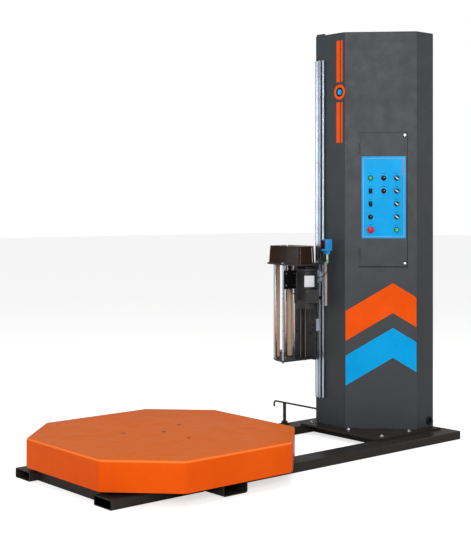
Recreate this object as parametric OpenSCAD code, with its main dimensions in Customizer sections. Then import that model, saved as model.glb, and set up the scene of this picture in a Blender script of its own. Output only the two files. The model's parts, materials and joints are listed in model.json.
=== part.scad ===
// Turntable pallet wrapper: octagonal turntable, full-height mast and powered film carriage.
// Origin: turntable axis on the floor. +X runs to the mast, +Y away from the control side, +Z up.

/* [Turntable] */
// Width of the octagonal deck across its flats
deck_width = 1220; // [1200:10:1240]
// Length that each slanted side cuts off a corner
corner_cut = 283; // [260:1:300]
// Height of the deck above the floor
deck_top = 214; // [214:1:220]
// Height of the skirt's lower edge above the floor
skirt_bottom = 66; // [60:1:70]
// Thickness of the deck sheet
deck_sheet = 4; // [3:0.5:5]

/* [Base frame] */
// Distance from the axis to the outer face of each side tube
base_half = 427; // [420:1:435]
// Width of a side tube
tube_w = 140; // [130:1:150]
// Height of a side tube
tube_h = 48; // [46:1:50]
// Wall of the side tubes
tube_wall = 5; // [4:0.5:6]
// Left end of the side tubes
base_left = -611; // [-620:1:-600]
// Right end of the side tubes
base_right = 1845; // [1820:1:1900]
// Width of the centre cross tube
cross_w = 150; // [140:1:160]
// Height of the centre cross tube
cross_h = 75; // [70:1:75]
// Distance from the axis to each mouth of the cross tube
cross_reach = 567; // [540:1:580]

/* [Mast] */
// Left face of the mast
mast_left = 1357; // [1350:1:1365]
// Right face of the mast
mast_right = 1798; // [1780:1:1820]
// Far face of the mast
mast_far = 283; // [275:1:290]
// Near face of the mast
mast_near = -261; // [-270:1:-255]
// Depth that the slanted control face cuts off the near left corner
mast_cut = 298; // [290:1:305]
// Top of the mast
mast_top = 2391; // [2300:1:2450]
// Thickness of the mast sheet
mast_sheet = 3; // [2:0.5:4]

/* [Guide rail] */
// Bottom of the rail
rail_bottom = 215; // [200:1:230]
// Top of the rail
rail_top = 2240; // [2200:1:2260]
// Near edge of the rail
rail_near = 199; // [195:1:205]
// Far edge of the rail
rail_far = 271; // [268:1:272]

/* [Carriage] */
// Underside of the bottom plate
plate_low = 444; // [440:1:450]
// Thickness of the bottom plate
plate_low_t = 8; // [6:1:10]
// Underside of the top plate
plate_high = 1015; // [1010:1:1020]
// Thickness of the top plate
plate_high_t = 10; // [8:1:10]
// Height of the gear cover
cover_h = 103; // [95:1:110]
// Radius of the tan pre-stretch rollers
tan_r = 19; // [17:0.5:20]
// Radius of the bright idler rollers
idler_r = 9; // [7:0.5:10]
// Radius of the carriage motor
motor_r = 64; // [60:1:65]

/* [Controls] */
// Left edge of the control door, measured along the slanted face
door_left = 93.5; // [92:0.5:95]
// Width of the control door
door_w = 268; // [266:1:270]
// Lower edge of the control door
door_low = 1012; // [1008:1:1014]
// Height of the control door
door_h = 783; // [780:1:786]
// Spacing of the control columns
column_pitch = 76.5; // [74:0.5:78]
// Spacing of the control rows
row_pitch = 76; // [74:0.5:78]
// Number of facets on round parts
smooth = 48; // [32:8:96]

/* [Hidden] */
$fn = smooth;
e = 0.01;
gap = 0.4;
fit = 0.05;

// Colours
dark_grey = [0.23, 0.24, 0.25];
orange = [0.94, 0.4, 0.05];
black = [0.06, 0.06, 0.06];
zinc = [0.75, 0.77, 0.8];
chrome = [0.85, 0.86, 0.88];
tan_rubber = [0.72, 0.6, 0.45];
steel = [0.55, 0.56, 0.58];
white = [0.92, 0.92, 0.92];
blue = [0.15, 0.6, 0.9];
red = [0.85, 0.1, 0.08];
green = [0.1, 0.6, 0.25];

// Base frame
base_inner = base_half - tube_w;
tube_mid = base_half - tube_w / 2;
plate_t = 10;
plate_top = tube_h + plate_t;
foot_plate_left = 1265;
foot_plate_right = 1800;
foot_plate_half = 318;
bolt_places = [[1345, -5], [1345, -266], [1575, -266], [1345, 300], [1575, 300]];

// Turntable drive, all on the turntable's axis or on the drive shaft's
spindle_r = 30;
track_low = 148;
track_t = 12;
track_r = 400;
roller_r = 32;
roller_w = 30;
roller_axle_r = 6;
roller_z = track_low - gap - roller_r;
roller_angle = asin(tube_mid / track_r);
roller_angles = [roller_angle, 180 - roller_angle, 180 + roller_angle, -roller_angle];
sprocket_low = 118;
sprocket_t = 10;
big_teeth = 60;
small_teeth = 12;
drive_x = 330;
drive_shaft_r = 10;
chain_gap = 1;
chain_t = 6;

// Lift drive inside the mast
lift_y = 220;
lift_r = 30;
lift_teeth = 12;
lift_x = 1415;
lift_top = 2290;
lift_low = 170;
lift_w = 8;
slot_half = 7;

// Carriage: places in plan
rail_front = mast_left - 15;
flange_t = 5;
back_x = 1326;
back_t = 6;
plate_low_top = plate_low + plate_low_t;
plate_high_top = plate_high + plate_high_t;
tan_1 = [1164, 420];
tan_2 = [1276, 420];
idler_1 = [1136, 400];
idler_2 = [1198, 380];
idler_3 = [1234, 343];
motor_at = [1218, 215];
spindle_at = [1403, 567];
rods = [[1087, 282], [1305, 358], [1300, 312], [1300, 479]];
low_outline = [[1078, 268], [1325, 268], [1325, 460], [1340, 460], [1480, 460], [1480, 640],
               [1345, 640], [1142, 425], [1098, 352]];
high_outline = [[1096, 146], [1240, 146], [1325, 231], [1325, 490], [1150, 490], [1124, 414],
                [1078, 268]];
cover_foot = [[1106, 156], [1210, 156], [1316, 250], [1316, 470], [1140, 470], [1127, 412]];
cover_head = [[1114, 162], [1208, 162], [1312, 252], [1312, 466], [1146, 466], [1137, 410]];
cover_wall = 2;
tan_shaft_r = 6;
idler_shaft_r = 4;
belt_t = 3;
belt_gap = 0.4;
belt_low = plate_high_top + 8;
belt_high = belt_low + 18;
belt_w = 12;
tan_1_pulley = 20;
tan_2_pulley = 26;
tan_2_pulley_b = 30;
motor_pulley_r = 22;

// Controls on the slanted face: columns along it, rows up it
columns = [150, 150 + column_pitch, 150 + 2 * column_pitch];
rows = [for (i = [0:4]) 1530 - i * row_pitch];
stem_r = 7;
stem_hole = stem_r + fit;
bezel_r = 15;
bezel_out = 6;
door_out = 3;
door_gap = 0.5;
hinge_t = 86;
hinge_out = 4.5;
latch_t = 350;
latch_z = [door_low + 18, door_low + door_h - 13];
round_controls = [
  [columns[0], rows[0]], [columns[1], rows[0]], [columns[2], rows[0]],
  [columns[1], rows[1]], [columns[2], rows[1]], [columns[2], rows[2]],
  [columns[0], rows[3]], [columns[2], rows[3]], [columns[0], rows[4]], [columns[2], rows[4]]];
rocker_places = [[columns[0], rows[1]], [columns[0], rows[2]]];
knob_rest = 40;
selector_rest = -50;
enclosure_left = 99;
enclosure_right = 378;
enclosure_low = 1008;
enclosure_high = 1800;
enclosure_depth = 120;

// Film tail holder
post_at = [1211, 402];
post_r = 10;
bar_z = 177;
bar_r = 5.5;

// Octagon of a given width across its flats, its corners cut in proportion
function octagon(width, cut) = let (h = width / 2, c = h - cut)
  [[h, -c], [h, c], [c, h], [-c, h], [-h, c], [-h, -c], [-c, -h], [c, -h]];

// Toothed outline: trapezoid teeth between a root and a tip radius
function teeth(n, root, tip) = [for (i = [0:n - 1], k = [0:3])
  let (a = 360 / n * (i + [0, 0.3, 0.45, 0.85][k]), r = [root, root, tip, tip][k])
  [r * cos(a), r * sin(a)]];

module sprocket(n, tip, thick, hole) {
  linear_extrude(thick) difference() {
    polygon(teeth(n, tip - 6, tip));
    circle(hole);
  }
}

// Closed band round two circles: a chain or a belt
module band(a, ra, b, rb, width, thick) {
  linear_extrude(width) difference() {
    hull() {
      translate(a) circle(ra + thick);
      translate(b) circle(rb + thick);
    }
    hull() {
      translate(a) circle(ra);
      translate(b) circle(rb);
    }
  }
}

// Place on the slanted face: along it, up it; local -Y points out of it
module on_face(along, up) {
  translate([mast_left + along * sin(45), mast_near + mast_cut - along * sin(45), up])
    rotate([0, 0, -45]) children();
}

// Cylinder along local Y, from y0 to y1
module peg(r, y0, y1) {
  translate([0, y1, 0]) rotate([90, 0, 0]) cylinder(r = r, h = y1 - y0);
}

module block(low, high) {
  translate(low) cube([high[0] - low[0], high[1] - low[1], high[2] - low[2]]);
}

module hex(r, h) {
  cylinder(r = r, h = h, $fn = 6);
}

// ---- Base frame ----
module tube_stretch(x0, x1, side) {
  mirror([0, side < 0 ? 1 : 0, 0]) difference() {
    block([x0, base_inner, 0], [x1, base_half, tube_h]);
    block([x0 - 1, base_inner + tube_wall, tube_wall], [x1 + 1, base_half - tube_wall, tube_h - tube_wall]);
  }
}

module side_tubes() {
  color(dark_grey) for (side = [-1, 1]) {
    tube_stretch(base_left, -cross_w / 2, side);
    tube_stretch(cross_w / 2, base_right, side);
  }
}

module cross_beams() {
  color(dark_grey) {
    block([base_left + 45, -base_inner, 0], [base_left + 95, base_inner, tube_h]);
    block([1345, -base_inner, 0], [1425, base_inner, tube_h]);
    block([base_right - 70, -base_inner, 0], [base_right, base_inner, tube_h]);
  }
}

module centre_cross_tube() {
  wall = 6;
  color(dark_grey) translate([0, cross_reach, 0]) rotate([90, 0, 0]) linear_extrude(2 * cross_reach)
    difference() {
      rounded(cross_w, cross_h, 12);
      translate([0, wall]) rounded(cross_w - 2 * wall, cross_h - 2 * wall, 7);
    }
}

// Rectangle standing on the X axis, with rounded corners
module rounded(w, h, r) {
  union() {
    translate([-w / 2 + r, 0]) square([w - 2 * r, h]);
    translate([-w / 2, r]) square([w, h - 2 * r]);
    for (x = [-w / 2 + r, w / 2 - r], y = [r, h - r]) translate([x, y]) circle(r);
  }
}

// Pedestal with the bearing housing, and the forks that hold the support rollers
module turntable_supports() {
  color(dark_grey) {
    difference() {
      union() {
        translate([-70, -90, cross_h]) cube([140, 180, 8]);
        translate([0, 0, cross_h + 8 - e]) cylinder(r = 62, h = sprocket_low - 1 - cross_h - 8);
      }
      translate([0, 0, cross_h + 8]) cylinder(r = spindle_r + fit, h = 60);
    }
    for (a = roller_angles) rotate([0, 0, a]) translate([track_r, 0, 0]) roller_fork();
  }
}

module roller_fork() {
  cheek = 5;
  half = roller_w / 2 + 2;
  translate([-30, -30, tube_h]) cube([60, 60, 6]);
  for (s = [-1, 1]) difference() {
    translate([s * (half + cheek / 2) - cheek / 2, -22, tube_h + 6 - e]) cube([cheek, 44, roller_z - tube_h + 6]);
    translate([s * (half + cheek / 2), 0, roller_z]) rotate([0, 90, 0])
      cylinder(r = roller_axle_r + fit, h = cheek + 2, center = true);
  }
}

module support_roller(i) {
  color(steel) rotate([0, 0, roller_angles[i]]) translate([track_r, 0, roller_z]) rotate([0, 90, 0]) {
    cylinder(r = roller_r, h = roller_w, center = true);
    cylinder(r = roller_axle_r, h = roller_w + 18, center = true);
  }
}

module turntable_gearmotor() {
  body_top = sprocket_low - 9;
  color(steel) difference() {
    union() {
      block([drive_x - 90, -base_inner, 12], [drive_x + 90, base_inner, 22]);
      block([drive_x - 60, -60, 22 - e], [drive_x + 60, 60, body_top]);
      translate([drive_x + 60 - e, 0, 66]) rotate([0, 90, 0]) cylinder(r = 42, h = 150);
      translate([drive_x + 210 - 2 * e, 0, 66]) rotate([0, 90, 0]) cylinder(r = 46, h = 30);
    }
    translate([drive_x, 0, body_top - 40]) cylinder(r = drive_shaft_r + fit, h = 60);
  }
}

module drive_sprocket() {
  body_top = sprocket_low - 9;
  color(steel) translate([drive_x, 0, 0]) {
    translate([0, 0, sprocket_low]) linear_extrude(sprocket_t) polygon(teeth(small_teeth, 26, 31));
    translate([0, 0, body_top - 30]) cylinder(r = drive_shaft_r, h = sprocket_low - body_top + 30 + e);
  }
}

module drive_chain() {
  color(steel) translate([0, 0, sprocket_low + 1])
    band([0, 0], 155 + chain_gap, [drive_x, 0], 31 + chain_gap, sprocket_t - 2, chain_t);
}

// ---- Turntable ----
module turntable_cover() {
  inner = deck_width - 2 * deck_sheet;
  inner_cut = corner_cut - deck_sheet * (2 - sqrt(2));
  color(orange) {
    difference() {
      translate([0, 0, skirt_bottom]) linear_extrude(deck_top - skirt_bottom)
        polygon(octagon(deck_width, corner_cut));
      translate([0, 0, skirt_bottom - 1]) linear_extrude(deck_top - deck_sheet - skirt_bottom + 1)
        polygon(octagon(inner, inner_cut));
    }
    translate([0, 0, deck_top - e]) cylinder(r = 9, h = 2);
    for (a = [30, 150, 270]) rotate([0, 0, a]) translate([205, 0, deck_top - e]) cylinder(r = 7, h = 2);
  }
}

// Hub, spindle, spokes, track ring and the chain sprocket, bolted up as one frame
module turntable_frame() {
  under = deck_top - deck_sheet;
  color(steel) {
    translate([0, 0, cross_h + 9]) cylinder(r = spindle_r, h = track_low - cross_h - 9 + e);
    translate([0, 0, sprocket_low]) linear_extrude(sprocket_t) polygon(teeth(big_teeth, 150, 155));
    translate([0, 0, sprocket_low + sprocket_t - e]) cylinder(r = 75, h = under - sprocket_low - sprocket_t);
    for (i = [0:7]) rotate([0, 0, 22.5 + 45 * i])
      translate([70, -25, track_low + track_t - e]) cube([510, 50, under - track_low - track_t]);
    translate([0, 0, track_low]) difference() {
      cylinder(r = track_r + 35, h = track_t);
      translate([0, 0, -1]) cylinder(r = track_r - 35, h = track_t + 2);
    }
  }
}

// ---- Mast ----
function mast_outline(inset) = let (k = inset * (sqrt(2) - 1)) [
  [mast_left + inset, mast_far - inset],
  [mast_left + inset, mast_near + mast_cut + k],
  [mast_left + mast_cut + k, mast_near + inset],
  [mast_right - inset, mast_near + inset],
  [mast_right - inset, mast_far - inset]];

module mast_foot_plate() {
  color(dark_grey) difference() {
    block([foot_plate_left, -foot_plate_half, tube_h], [foot_plate_right, foot_plate_half, plate_top]);
    for (p = bolt_places) translate([p[0], p[1], tube_h - 1]) cylinder(r = 9, h = plate_t + 2);
  }
}

module foot_bolts() {
  color(zinc) for (p = bolt_places) translate([p[0], p[1], plate_top]) {
    cylinder(r = 12, h = 2.5);
    translate([0, 0, 2.5 - e]) hex(10, 8);
    translate([0, 0, -plate_t - e]) cylinder(r = 8, h = plate_t + 2 * e);
  }
}

module mast_column() {
  slot_low = rail_bottom + 15;
  grommet_at = [mast_right - 35, plate_top + 38];
  tab_w = rail_far - rail_near - 8;
  color(dark_grey) {
    difference() {
      translate([0, 0, plate_top]) linear_extrude(mast_top - plate_top) polygon(mast_outline(0));
      translate([0, 0, plate_top - 1]) linear_extrude(mast_top - plate_top - mast_sheet + 1)
        polygon(mast_outline(mast_sheet));
      block([mast_left - 1, lift_y - slot_half - 2, slot_low], [mast_left + 6, lift_y + slot_half + 2, rail_top - 15]);
      on_face(101, 1018) translate([0, -1, 0]) cube([257.5, mast_sheet + 2, 771]);
      block([mast_right - 6, mast_near + 40, 120], [mast_right + 1, mast_far - 40, 2330]);
      translate([grommet_at[0], mast_near - 1, grommet_at[1]]) rotate([-90, 0, 0]) cylinder(r = 20, h = 6);
    }
    block([mast_left, rail_near + 10, mast_top - e], [mast_left + 8, rail_near + 10 + tab_w, mast_top + 9]);
  }
}

module mast_back_cover() {
  color(dark_grey) difference() {
    block([mast_right, mast_near + 20, 90], [mast_right + 2.5, mast_far - 20, 2360]);
    for (y = [mast_near + 60 : 85 : mast_far - 60], i = [0:5])
      block([mast_right - 1, y - 25, 240 + 14 * i], [mast_right + 4, y + 25, 246 + 14 * i]);
  }
}

module cable_grommet() {
  at = [mast_right - 35, plate_top + 38];
  color(black) {
    translate([at[0], mast_near, at[1]]) rotate([90, 0, 0]) difference() {
      union() {
        cylinder(r = 25, h = 6);
        translate([0, 0, -9]) cylinder(r = 19.8, h = 10);
      }
      translate([0, 0, -10]) cylinder(r = 11, h = 20);
    }
    translate([mast_right, mast_near + 12, plate_top + 26]) rotate([0, 90, 0]) cylinder(r = 7, h = 10);
  }
}

module guide_rail() {
  core = 8;
  color(zinc) translate([0, 0, rail_bottom]) linear_extrude(rail_top - rail_bottom) {
    rail_half(rail_near, lift_y - slot_half, rail_near + core, lift_y - slot_half);
    rail_half(lift_y + slot_half, rail_far, lift_y + slot_half, rail_far - core);
  }
}

// One side of the rail: a flange in front and a narrower core behind it
module rail_half(y0, y1, c0, c1) {
  translate([rail_front, y0]) square([flange_t, y1 - y0]);
  translate([rail_front + flange_t - e, c0]) square([mast_left - rail_front - flange_t + e, c1 - c0]);
}

// ---- Lift drive ----
module lift_gearmotor() {
  near_side = lift_y - lift_w / 2 - 12;
  color(steel) difference() {
    union() {
      block([lift_x - 53, near_side - 110, plate_top], [lift_x + 60, near_side, 235]);
      translate([lift_x + 60 - e, near_side - 55, lift_low]) rotate([0, 90, 0]) cylinder(r = 50, h = 190);
      translate([lift_x + 250 - 2 * e, near_side - 55, lift_low]) rotate([0, 90, 0])
        cylinder(r = 54, h = 35);
    }
    translate([lift_x, 0, lift_low]) peg(drive_shaft_r + fit, near_side - 60, near_side + 1);
  }
}

module lift_sprocket(z, shaft_from, shaft_to) {
  color(steel) translate([lift_x, lift_y, z]) {
    rotate([90, 0, 0]) translate([0, 0, -lift_w / 2]) linear_extrude(lift_w)
      polygon(teeth(lift_teeth, lift_r - 5, lift_r));
    peg(drive_shaft_r, shaft_from, shaft_to);
  }
}

module lower_lift_sprocket() {
  lift_sprocket(lift_low, -lift_w / 2 - 62, lift_w / 2);
}

module upper_lift_sprocket() {
  lift_sprocket(lift_top, -24, 24);
}

// Chain loop, with the bearing blocks of the upper shaft that hang from the mast's top
module lift_chain() {
  color(steel) {
    translate([0, lift_y + lift_w / 2 - 1, 0]) rotate([90, 0, 0])
      band([lift_x, lift_low], lift_r + chain_gap, [lift_x, lift_top], lift_r + chain_gap, lift_w - 2, chain_t);
    for (y = [lift_y - 24, lift_y + 12]) difference() {
      block([lift_x - 20, y, lift_top - 20], [lift_x + 20, y + 12, mast_top - mast_sheet]);
      translate([lift_x, y - 1, lift_top]) peg(drive_shaft_r + fit, 0, 14);
    }
  }
}

// ---- Carriage ----
module plate_holes(shafts, z, thick) {
  for (s = shafts) translate([s[0][0], s[0][1], z - 1]) cylinder(r = s[1] + fit, h = thick + 2);
}

module carriage_bottom_plate() {
  shafts = [[idler_1, idler_shaft_r], [idler_2, idler_shaft_r], [idler_3, idler_shaft_r],
            [tan_1, tan_shaft_r], [tan_2, tan_shaft_r], [spindle_at, 10]];
  color(black) difference() {
    translate([0, 0, plate_low]) linear_extrude(plate_low_t) polygon(low_outline);
    plate_holes(shafts, plate_low, plate_low_t);
  }
}

module carriage_top_plate() {
  shafts = [[idler_1, idler_shaft_r], [idler_2, idler_shaft_r], [idler_3, idler_shaft_r],
            [tan_1, tan_shaft_r], [tan_2, tan_shaft_r], [motor_at, 8]];
  color(black) difference() {
    translate([0, 0, plate_high]) linear_extrude(plate_high_t) polygon(high_outline);
    plate_holes(shafts, plate_high, plate_high_t);
  }
}

module carriage_back_plate() {
  color(black) difference() {
    block([back_x, 254, plate_low_top - 12], [back_x + back_t, 455, plate_high_top - 2]);
    for (z = [600, 780, 960], y = [300, 420]) translate([back_x - 1, y, z]) rotate([0, 90, 0])
      cylinder(r = 5, h = back_t + 2);
  }
}

// Shoes of slippery plastic that hook round the rail's far flange; the upper one reaches the chain
module guide_shoes() {
  front = back_x + back_t;
  color(white) {
    for (z = [615, 905]) translate([0, 0, z]) linear_extrude(72) {
      translate([front, 240]) square([rail_front - gap - front, 50]);
      translate([rail_front - gap - e, rail_far + gap]) square([10 + gap, 290 - rail_far - gap]);
      translate([rail_front + flange_t + gap, 263.5]) square([5 - gap, 290 - 263.5]);
    }
    block([front, lift_y - 4, 915], [rail_front - gap, 240 + e, 967]);
    block([front, lift_y - 4, 915], [lift_x - lift_r - chain_t - chain_gap - 2, lift_y + 4, 967]);
  }
}

module gear_cover() {
  thin = 1;
  color(black) translate([0, 0, plate_high_top]) difference() {
    hull() {
      linear_extrude(thin) polygon(cover_foot);
      translate([0, 0, cover_h - thin]) linear_extrude(thin) polygon(cover_head);
    }
    translate([0, 0, -e]) hull() {
      linear_extrude(thin) polygon(shrunk(cover_foot));
      translate([0, 0, cover_h - 2 * thin - cover_wall]) linear_extrude(thin) polygon(shrunk(cover_head));
    }
  }
  color(zinc) for (p = [[1148, 365], [1140, 300]]) translate([p[0], p[1], plate_high_top + cover_h - e])
    cylinder(r = 4, h = 8);
}

// Outline drawn in towards its own centre by the cover's wall
function centre_of(o) = [for (k = [0, 1]) (max([for (p = o) p[k]]) + min([for (p = o) p[k]])) / 2];
function shrunk(o) = let (c = centre_of(o), w = max([for (p = o) p[0]]) - c[0], f = 1 - 1.6 * cover_wall / w)
  [for (p = o) c + f * (p - c)];

module tie_rods() {
  color(zinc) for (p = rods) translate([p[0], p[1], 0]) {
    r = p == rods[0] ? 5 : 4;
    translate([0, 0, plate_low_top]) cylinder(r = r, h = plate_high - plate_low_top);
    translate([0, 0, plate_low - 10]) hex(r + 4, 10);
    translate([0, 0, plate_high_top]) hex(r + 3, 8);
  }
}

module carriage_motor() {
  low = 758;
  color(black) {
    difference() {
      union() {
        translate([motor_at[0], motor_at[1], low]) cylinder(r = motor_r - 2, h = 45);
        translate([motor_at[0], motor_at[1], low + 45 - e]) cylinder(r = motor_r, h = 180);
        translate([motor_at[0], motor_at[1], low + 225 - 2 * e])
          cylinder(r = motor_r - 8, h = plate_high - low - 225 + 2 * e);
      }
      translate([motor_at[0], motor_at[1], plate_high - 20]) cylinder(r = 8 + fit, h = 30);
    }
    translate([motor_at[0], motor_at[1], 798]) rotate([0, 0, -25]) {
      translate([-40, -105, 0]) cube([80, 45, 77]);
      translate([40 - e, -82, 30]) rotate([0, 90, 0]) cylinder(r = 9, h = 22);
    }
    translate([motor_at[0], motor_at[1], 943]) rotate([0, 0, -40]) translate([60, 0, 0]) rotate([0, 90, 0])
      cylinder(r = 6, h = 8);
  }
}

module motor_pulley() {
  color(steel) translate([motor_at[0], motor_at[1], 0]) {
    translate([0, 0, plate_high - 15]) cylinder(r = 8, h = belt_high + belt_w - plate_high + 15);
    translate([0, 0, belt_high]) cylinder(r = motor_pulley_r, h = belt_w);
  }
}

module stretch_belts() {
  color(black) {
    translate([0, 0, belt_low])
      band(tan_1, tan_1_pulley + belt_gap, tan_2, tan_2_pulley + belt_gap, belt_w, belt_t);
    translate([0, 0, belt_high])
      band(motor_at, motor_pulley_r + belt_gap, tan_2, tan_2_pulley_b + belt_gap, belt_w, belt_t);
  }
}

module roller(at, r, shaft, top) {
  translate([at[0], at[1], 0]) {
    translate([0, 0, plate_low_top + 3]) cylinder(r = r, h = plate_high - plate_low_top - 6);
    translate([0, 0, plate_low + 0.5]) cylinder(r = shaft, h = top - plate_low - 0.5);
  }
}

module prestretch_roller_1() {
  color(tan_rubber) roller(tan_1, tan_r, tan_shaft_r, belt_low + belt_w);
  color(steel) translate([tan_1[0], tan_1[1], belt_low]) cylinder(r = tan_1_pulley, h = belt_w);
}

module prestretch_roller_2() {
  color(tan_rubber) roller(tan_2, tan_r, tan_shaft_r, belt_high + belt_w);
  color(steel) translate([tan_2[0], tan_2[1], belt_low]) cylinder(r = tan_2_pulley, h = belt_w);
  color(steel) translate([tan_2[0], tan_2[1], belt_high]) cylinder(r = tan_2_pulley_b, h = belt_w);
}

module idler_roller(at) {
  color(chrome) roller(at, idler_r, idler_shaft_r, plate_high_top - 1);
}

// Upright spindle that a roll of film drops over, on a disc that carries the roll
module film_spindle() {
  color(steel) translate([spindle_at[0], spindle_at[1], 0]) {
    translate([0, 0, plate_low + 0.5]) cylinder(r = 10, h = plate_low_t + 4);
    translate([0, 0, plate_low_top + 3]) cylinder(r = 70, h = 6);
    translate([0, 0, plate_low_top + 9 - e]) cylinder(r = 37, h = 490);
  }
}

module junction_box() {
  color(black) {
    block([1108, 290, 873], [1200, 316, 983]);
    block([1140, 296, 983 - e], [1165, 300, plate_high]);
  }
  color(zinc) for (z = [894, 966]) translate([1124, 290, z]) peg(6, -3, e);
}

module sensor_bracket() {
  color(black) {
    block([1220, 139, plate_high_top], [1318, 144, plate_high_top + 26]);
    block([1220, 144 - e, plate_high_top], [1236, 154, plate_high_top + 3]);
    block([1292, 139, plate_high_top + 26 - e], [1312, 144, 1125]);
  }
  color(zinc) block([1290, 133, 775], [1306, 139, plate_high_top + 10]);
  color(zinc) translate([1231, 139, plate_high_top + 12]) peg(5, -3, e);
}

module photo_eye() {
  color(blue) {
    block([1264, 107, 1101], [1321, 139, 1169]);
    block([1288, 114, 1080], [1311, 137, 1101 + e]);
  }
  color(red) block([1262, 109, 1113], [1264 + e, 137, 1164]);
  color(white) translate([1298, 124, 1050]) cylinder(r = 5.5, h = 30 + e);
  color(green) translate([1298, 124, 1026]) cylinder(r = 6, h = 24 + e);
}

cable_r = 2.5;
cable_route = [[1298, 124, 1026], [1298, 124, 1012], [1297, 122, 996], [1293, 121, 980], [1287, 124, 967],
               [1283, 133, 956], [1282, 145, 949], [1280, 156, 945], [1276, 164.4, 943.4], [1270.47, 170.97, 943]];

// Ring of a swept tube: eight points round the route's point, square to its direction
function along(p, i) = let (a = p[max(i - 1, 0)], b = p[min(i + 1, len(p) - 1)]) (b - a) / norm(b - a);
function ring(p, i, r) = let (t = along(p, i), s = cross(t, [0.57, 0.57, 0.57]), u = s / norm(s), v = cross(t, u))
  [for (k = [0:7]) p[i] + r * (cos(45 * k) * u + sin(45 * k) * v)];

module sensor_cable() {
  n = len(cable_route);
  points = [for (i = [0:n - 1]) each ring(cable_route, i, cable_r)];
  sides = [for (i = [0:n - 2], k = [0:7])
    [8 * i + k, 8 * i + (k + 1) % 8, 8 * i + 8 + (k + 1) % 8, 8 * i + 8 + k]];
  ends = [[for (k = [7:-1:0]) k], [for (k = [0:7]) 8 * (n - 1) + k]];
  color(black) polyhedron(points, concat(sides, ends));
}

// ---- Control door and what it carries ----
module control_enclosure() {
  wall = 2;
  w = enclosure_right - enclosure_left;
  h = enclosure_high - enclosure_low;
  color(steel) on_face(enclosure_left, enclosure_low) difference() {
    translate([0, mast_sheet, 0]) cube([w, enclosure_depth, h]);
    translate([wall, mast_sheet - 1, wall]) cube([w - 2 * wall, enclosure_depth - wall + 1, h - 2 * wall]);
  }
  color(black) on_face(enclosure_left, enclosure_low) {
    back = mast_sheet + enclosure_depth - wall;
    for (z = [90, 330]) translate([30, back - 55, z]) cube([90, 55 + e, 170]);
    for (i = [0:5]) translate([150 + 18 * i, back - 50, 380]) cube([17, 50 + e, 85]);
    for (i = [0:9]) translate([150 + 10 * i, back - 35, 120]) cube([9, 35 + e, 60]);
    translate([140, back - 60, 560]) cube([110, 60 + e, 90]);
  }
}

module knuckle(z, h) {
  on_face(hinge_t, z) translate([0, -hinge_out, 0]) cylinder(r = 4, h = h);
}

hinge_z = [door_low + 55, door_low + 667];
knuckle_h = 18;

// Fixed knuckles and pins on the mast
module hinge_leaves() {
  color(steel) for (z = hinge_z) {
    knuckle(z + knuckle_h + 0.5, knuckle_h - 1);
    on_face(hinge_t, z - 1) translate([0, -hinge_out, 0]) cylinder(r = 2, h = 3 * knuckle_h + 2);
    on_face(hinge_t - 12, z + knuckle_h + 0.5) translate([0, -2.5, 0]) cube([10, 2.5, knuckle_h - 1]);
  }
}

module control_door() {
  block_depth = 38;
  panel_back = -door_gap;
  color(dark_grey) difference() {
    union() {
      on_face(door_left, door_low) translate([0, -door_out, 0]) cube([door_w, door_out - door_gap, door_h]);
      for (c = round_controls) on_face(c[0], c[1]) {
        peg(bezel_r, -bezel_out, -door_out + e);
        translate([-16, panel_back - e, -16]) cube([32, block_depth, 32]);
      }
      for (c = rocker_places) on_face(c[0], c[1]) {
        translate([-10, -bezel_out, -15]) cube([20, bezel_out - door_out + e, 30]);
        translate([-16, panel_back - e, -16]) cube([32, block_depth, 32]);
      }
      for (z = hinge_z, up = [0, 2 * knuckle_h]) {
        knuckle(z + up, knuckle_h);
        on_face(hinge_t, z + up) translate([1, -hinge_out - 0.5, 0]) cube([8, 2.5, knuckle_h]);
      }
    }
    for (z = hinge_z) on_face(hinge_t, z - 1) translate([0, -hinge_out, 0])
      cylinder(r = 2 + fit, h = 3 * knuckle_h + 2);
    for (c = round_controls) on_face(c[0], c[1]) peg(stem_hole, -bezel_out - 1, 14);
    for (c = rocker_places) on_face(c[0], c[1]) translate([-8, -bezel_out - 1, -10]) cube([16, 20, 20]);
    for (z = latch_z) on_face(latch_t, z) peg(4 + fit, -door_out - 1, 1);
  }
  color(green) on_face(columns[0], rows[0]) peg(11, -bezel_out - 4, -bezel_out + e);
}

// Quarter-turn latch: slotted head, shaft and a cam that points down the door's edge when open
module door_latch(z, turn) {
  color(zinc) on_face(latch_t, z) difference() {
    union() {
      peg(6, -7, -door_out - 0.3);
      peg(4, -7 + e, 8);
      rotate([0, turn, 0]) translate([-4, 5, -20]) cube([8, 3, 20]);
    }
    translate([-10, -8, -0.8]) cube([20, 2.2, 1.6]);
  }
}

module stem(from) {
  peg(stem_r, from, 8);
}

module e_stop_button() {
  color(red) on_face(columns[0], rows[4]) {
    stem(-14);
    peg(20, -27, -16);
    translate([0, -27 + e, 0]) rotate([90, 0, 0]) cylinder(r1 = 20, r2 = 14, h = 4);
    peg(13, -16 - e, -12);
  }
}

module start_button() {
  color(green) on_face(columns[2], rows[4]) {
    stem(-12);
    peg(12, -17, -11.5);
  }
}

module speed_knob(c) {
  color(black) on_face(c[0], c[1]) {
    stem(-8);
    peg(13.5, -9, -bezel_out - 0.4);
    peg(10, -22, -9 + e);
    rotate([0, knob_rest, 0]) translate([-1, -23.5, 0]) cube([2, 15, 10.5]);
  }
}

module selector(c) {
  on_face(c[0], c[1]) {
    color(black) {
      stem(-8);
      peg(13, -11, -bezel_out - 0.4);
    }
    color(white) rotate([0, selector_rest, 0]) translate([-3.5, -22, -12]) cube([7, 11 + e, 24]);
  }
}

module rocker(c) {
  color(black) on_face(c[0], c[1]) translate([-7, -2, 0]) rotate([0, 90, 0]) cylinder(r = 9, h = 14);
}

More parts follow.
